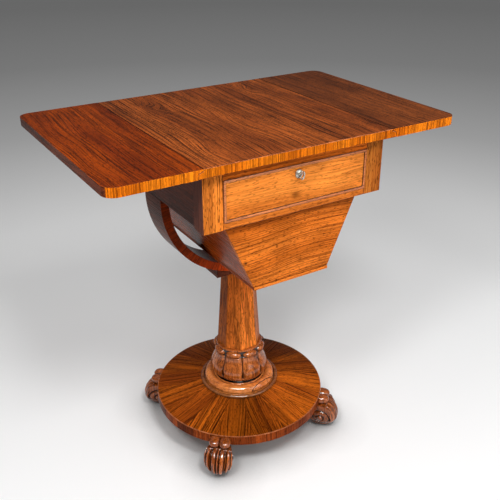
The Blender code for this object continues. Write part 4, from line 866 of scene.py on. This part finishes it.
# The well is a deep tapered box for needlework under the drawer. Its front and back are rosewood, its sides
# dark polished rosewood, and it hangs from oak bars that slide on the runners.
WELL_LOW, WELL_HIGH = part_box("well_front")[0][2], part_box("well_front")[1][2]
well_knots = ((0.035, 0.560, 0.085, 0.070, -0.010, 0.0), (-0.070, 0.500, 0.050, 0.030, 0.004, 0.0),
              (-0.102, 0.525, 0.0030, 0.0030, 0.002, 1.0))


def well_lay(tree):
    """Grain from side to side, with a painted shadow under the rail and a dark line along the top of the strip at the
    foot.
    """
    place, _, _ = straight("X", "Z", 0.3)(tree)
    parts = tree.nodes.new("ShaderNodeSeparateXYZ")
    tree.links.new(place, parts.inputs[0])
    # Painted shadow cast by the rail over the top of the well front.
    shadow_under_rail = ramp(tree, parts.outputs[1], WELL_HIGH - 0.016, WELL_HIGH - 0.002, 0.0, 0.45)
    over_strip = ramp(tree, parts.outputs[1], WELL_LOW + 0.0022, WELL_LOW + 0.0008, 0.0, 0.75)
    return place, None, reckon(tree, "MAXIMUM", shadow_under_rail, over_strip)


well_wood = rosewood("well rosewood", well_lay, tint(220, 118, 38), tint(188, 92, 22),
                     tint(90, 32, 5), lines=0.85, width=250.0, waver=0.009, pores=0.65, flame=0.16, knots=well_knots)
side_wood = rosewood("well side rosewood", straight("Y", "Z", 0.2), tint(174, 76, 24), tint(136, 54, 14),
                     tint(56, 18, 4), lines=0.5, gloss=0.24)
worked("well_front", "well_face", 0.0005, "well", "rosewood", well_wood)
worked("well_back", "well_back_face", 0.0005, "well", "rosewood", well_wood)
strip_wood = rosewood("strip rosewood", straight("X", "Y", 0.8), tint(232, 132, 50), tint(208, 108, 34),
                      tint(110, 44, 10), lines=0.5, width=230.0)
foot_strip = worked("well_bottom", "well_foot_strip", 0.0006, "well", "rosewood", strip_wood, side_wood)
for face in foot_strip.data.polygons:
    face.material_index = 1 if abs(face.normal.x) > 0.5 else 0
lower_rail_wood = rosewood("lower rail rosewood", straight("X", "Z", 0.7), tint(222, 122, 44), tint(194, 98, 28),
                           tint(100, 40, 10), lines=0.5, width=230.0, waver=0.008)
lower_rail = worked("well_rail", "rail_under_drawer", 0.0009, "well", "rosewood", lower_rail_wood, worn_and_highlit_wood)
rail_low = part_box("well_rail")[0][2]
# The lower front arris of the rail gets the lighter arris wood: wear and painted highlight.
for face in lower_rail.data.polygons:
    worn_and_highlit = face.center.z < rail_low + 0.0012 and face.normal.y < -0.1
    face.material_index = 1 if worn_and_highlit and face.normal.z > -0.98 else 0
for hand in ("left", "right"):
    worked("well_side_" + hand, hand + "_well_side", 0.0005, "well", "rosewood_dark", side_wood)
    worked("well_bar_" + hand, hand + "_well_bar", 0.0004, "well", "secondary_oak", oak_long)
worked("well_back_rail", "well_cross_bar", 0.0004, "well", "secondary_oak", oak_cross)


# The studio: a pale floor with a painted pool of light that fades with distance and a painted contact shadow,
# a large soft lamp in front on the right, two small ones beside the camera, one that shows only in the polish,
# and a dim grey room.
bpy.ops.object.select_all(action="DESELECT")
bpy.ops.mesh.primitive_circle_add(vertices=96, radius=14.0, fill_type="TRIFAN")
floor = bpy.context.object
floor.name = "floor"
floor_paint = bpy.data.materials.new("floor paint")
floor_paint.use_nodes = True
tree = floor_paint.node_tree
shader = tree.nodes["Principled BSDF"]
here = add(tree, "TexCoord", {}, out=3)
far = add(tree, "VectorMath", {0: here}, out=1, operation="LENGTH")
# Painted pool of light: the floor colour fades from pale near the object to grey far off.
painted_pool_of_light = tree.nodes.new("ShaderNodeValToRGB")
tree.links.new(reckon(tree, "DIVIDE", far, 8.0), painted_pool_of_light.inputs[0])
stops = ((0.0, 0.88), (0.036, 0.86), (0.066, 0.86), (0.119, 0.88), (0.188, 0.78), (0.30, 0.56), (0.50, 0.39),
         (0.85, 0.31))
painted_pool_of_light.color_ramp.elements[0].position, painted_pool_of_light.color_ramp.elements[1].position = stops[0][0], stops[-1][0]
for at, grey in stops[1:-1]:
    painted_pool_of_light.color_ramp.elements.new(at)
for stop, (at, grey) in zip(painted_pool_of_light.color_ramp.elements, stops):
    stop.color = (grey, grey, grey, 1.0)
# Painted contact shadow: ambient occlusion darkens the floor colour near the object.
shade = add(tree, "AmbientOcclusion", {"Distance": 0.09}, out=1, samples=8)
painted_contact_shadow = reckon(tree, "POWER", shade, 1.0)
paint = add(tree, "HueSaturation", {"Value": painted_contact_shadow, "Color": painted_pool_of_light.outputs[0]})
tree.links.new(paint, shader.inputs["Base Color"])
shader.inputs["Roughness"].default_value = 0.8
shader.inputs["Specular IOR Level"].default_value = 0.1


def seen_only(tree, strength):
    """A strength that the camera, polish and glass see, and that lights nothing."""
    path = tree.nodes.new("ShaderNodeLightPath")
    seen = reckon(tree, "MAXIMUM", path.outputs["Is Camera Ray"], path.outputs["Is Glossy Ray"])
    seen = reckon(tree, "MAXIMUM", seen, path.outputs["Is Transmission Ray"])
    return reckon(tree, "MULTIPLY", seen, strength)


tree.links.new(paint, shader.inputs["Emission Color"])
tree.links.new(seen_only(tree, 0.10), shader.inputs["Emission Strength"])
floor.data.materials.append(floor_paint)


def lamp(name, at, aim, size, power):
    data = bpy.data.lights.new(name, "AREA")
    data.shape, data.size, data.energy = "SQUARE", size, power
    made = bpy.data.objects.new(name, data)
    made.location = at
    made.rotation_euler = (Vector(aim) - Vector(at)).to_track_quat("-Z", "Y").to_euler()
    bpy.context.collection.objects.link(made)
    return made


lamp("low front lamp", (1.00, -2.38, 1.50), (0.0, 0.0, 0.45), 2.0, 29.0)
lamp("left softbox", (-1.14, -0.84, 1.92), (0.0, 0.0, 0.3), 0.42, 17.0)
lamp("front softbox", (-0.26, -1.26, 2.02), (0.0, 0.0, 0.3), 0.42, 22.0)
shine = lamp("lamp for the polish", (-0.72, -1.30, 1.78), (0.0, 0.0, 0.15), 0.80, 50.0)
shine.visible_diffuse = False

room = bpy.data.worlds.new("room")
bpy.context.scene.world = room
room.use_nodes = True
tree = room.node_tree
parts = tree.nodes.new("ShaderNodeSeparateXYZ")
tree.links.new(add(tree, "TexCoord", {}, out=0), parts.inputs[0])
height = ramp(tree, parts.outputs[2], 0.25, 1.0, 0.06, 0.50)
sky = tree.nodes["Background"]
tree.links.new(reckon(tree, "MAXIMUM", height, seen_only(tree, 0.133)), sky.inputs["Color"])
sky.inputs["Strength"].default_value = 1.0

camera_data = bpy.data.cameras.new("camera")
camera_data.lens, camera_data.sensor_width = 51.29, 36.0
camera = bpy.data.objects.new("camera", camera_data)
right = Vector((0.84998, -0.52682, -0.00179))
up = Vector((0.23968, 0.38367, 0.89182))
ahead = Vector((0.46914, 0.75846, -0.45238))
eye = Vector((-0.69437, -1.17220, 1.12988))
camera.matrix_world = Matrix.Translation(eye) @ Matrix((right, up, -ahead)).transposed().to_4x4()
bpy.context.collection.objects.link(camera)
bpy.context.scene.camera = camera
bpy.context.scene.view_settings.view_transform = "Standard"
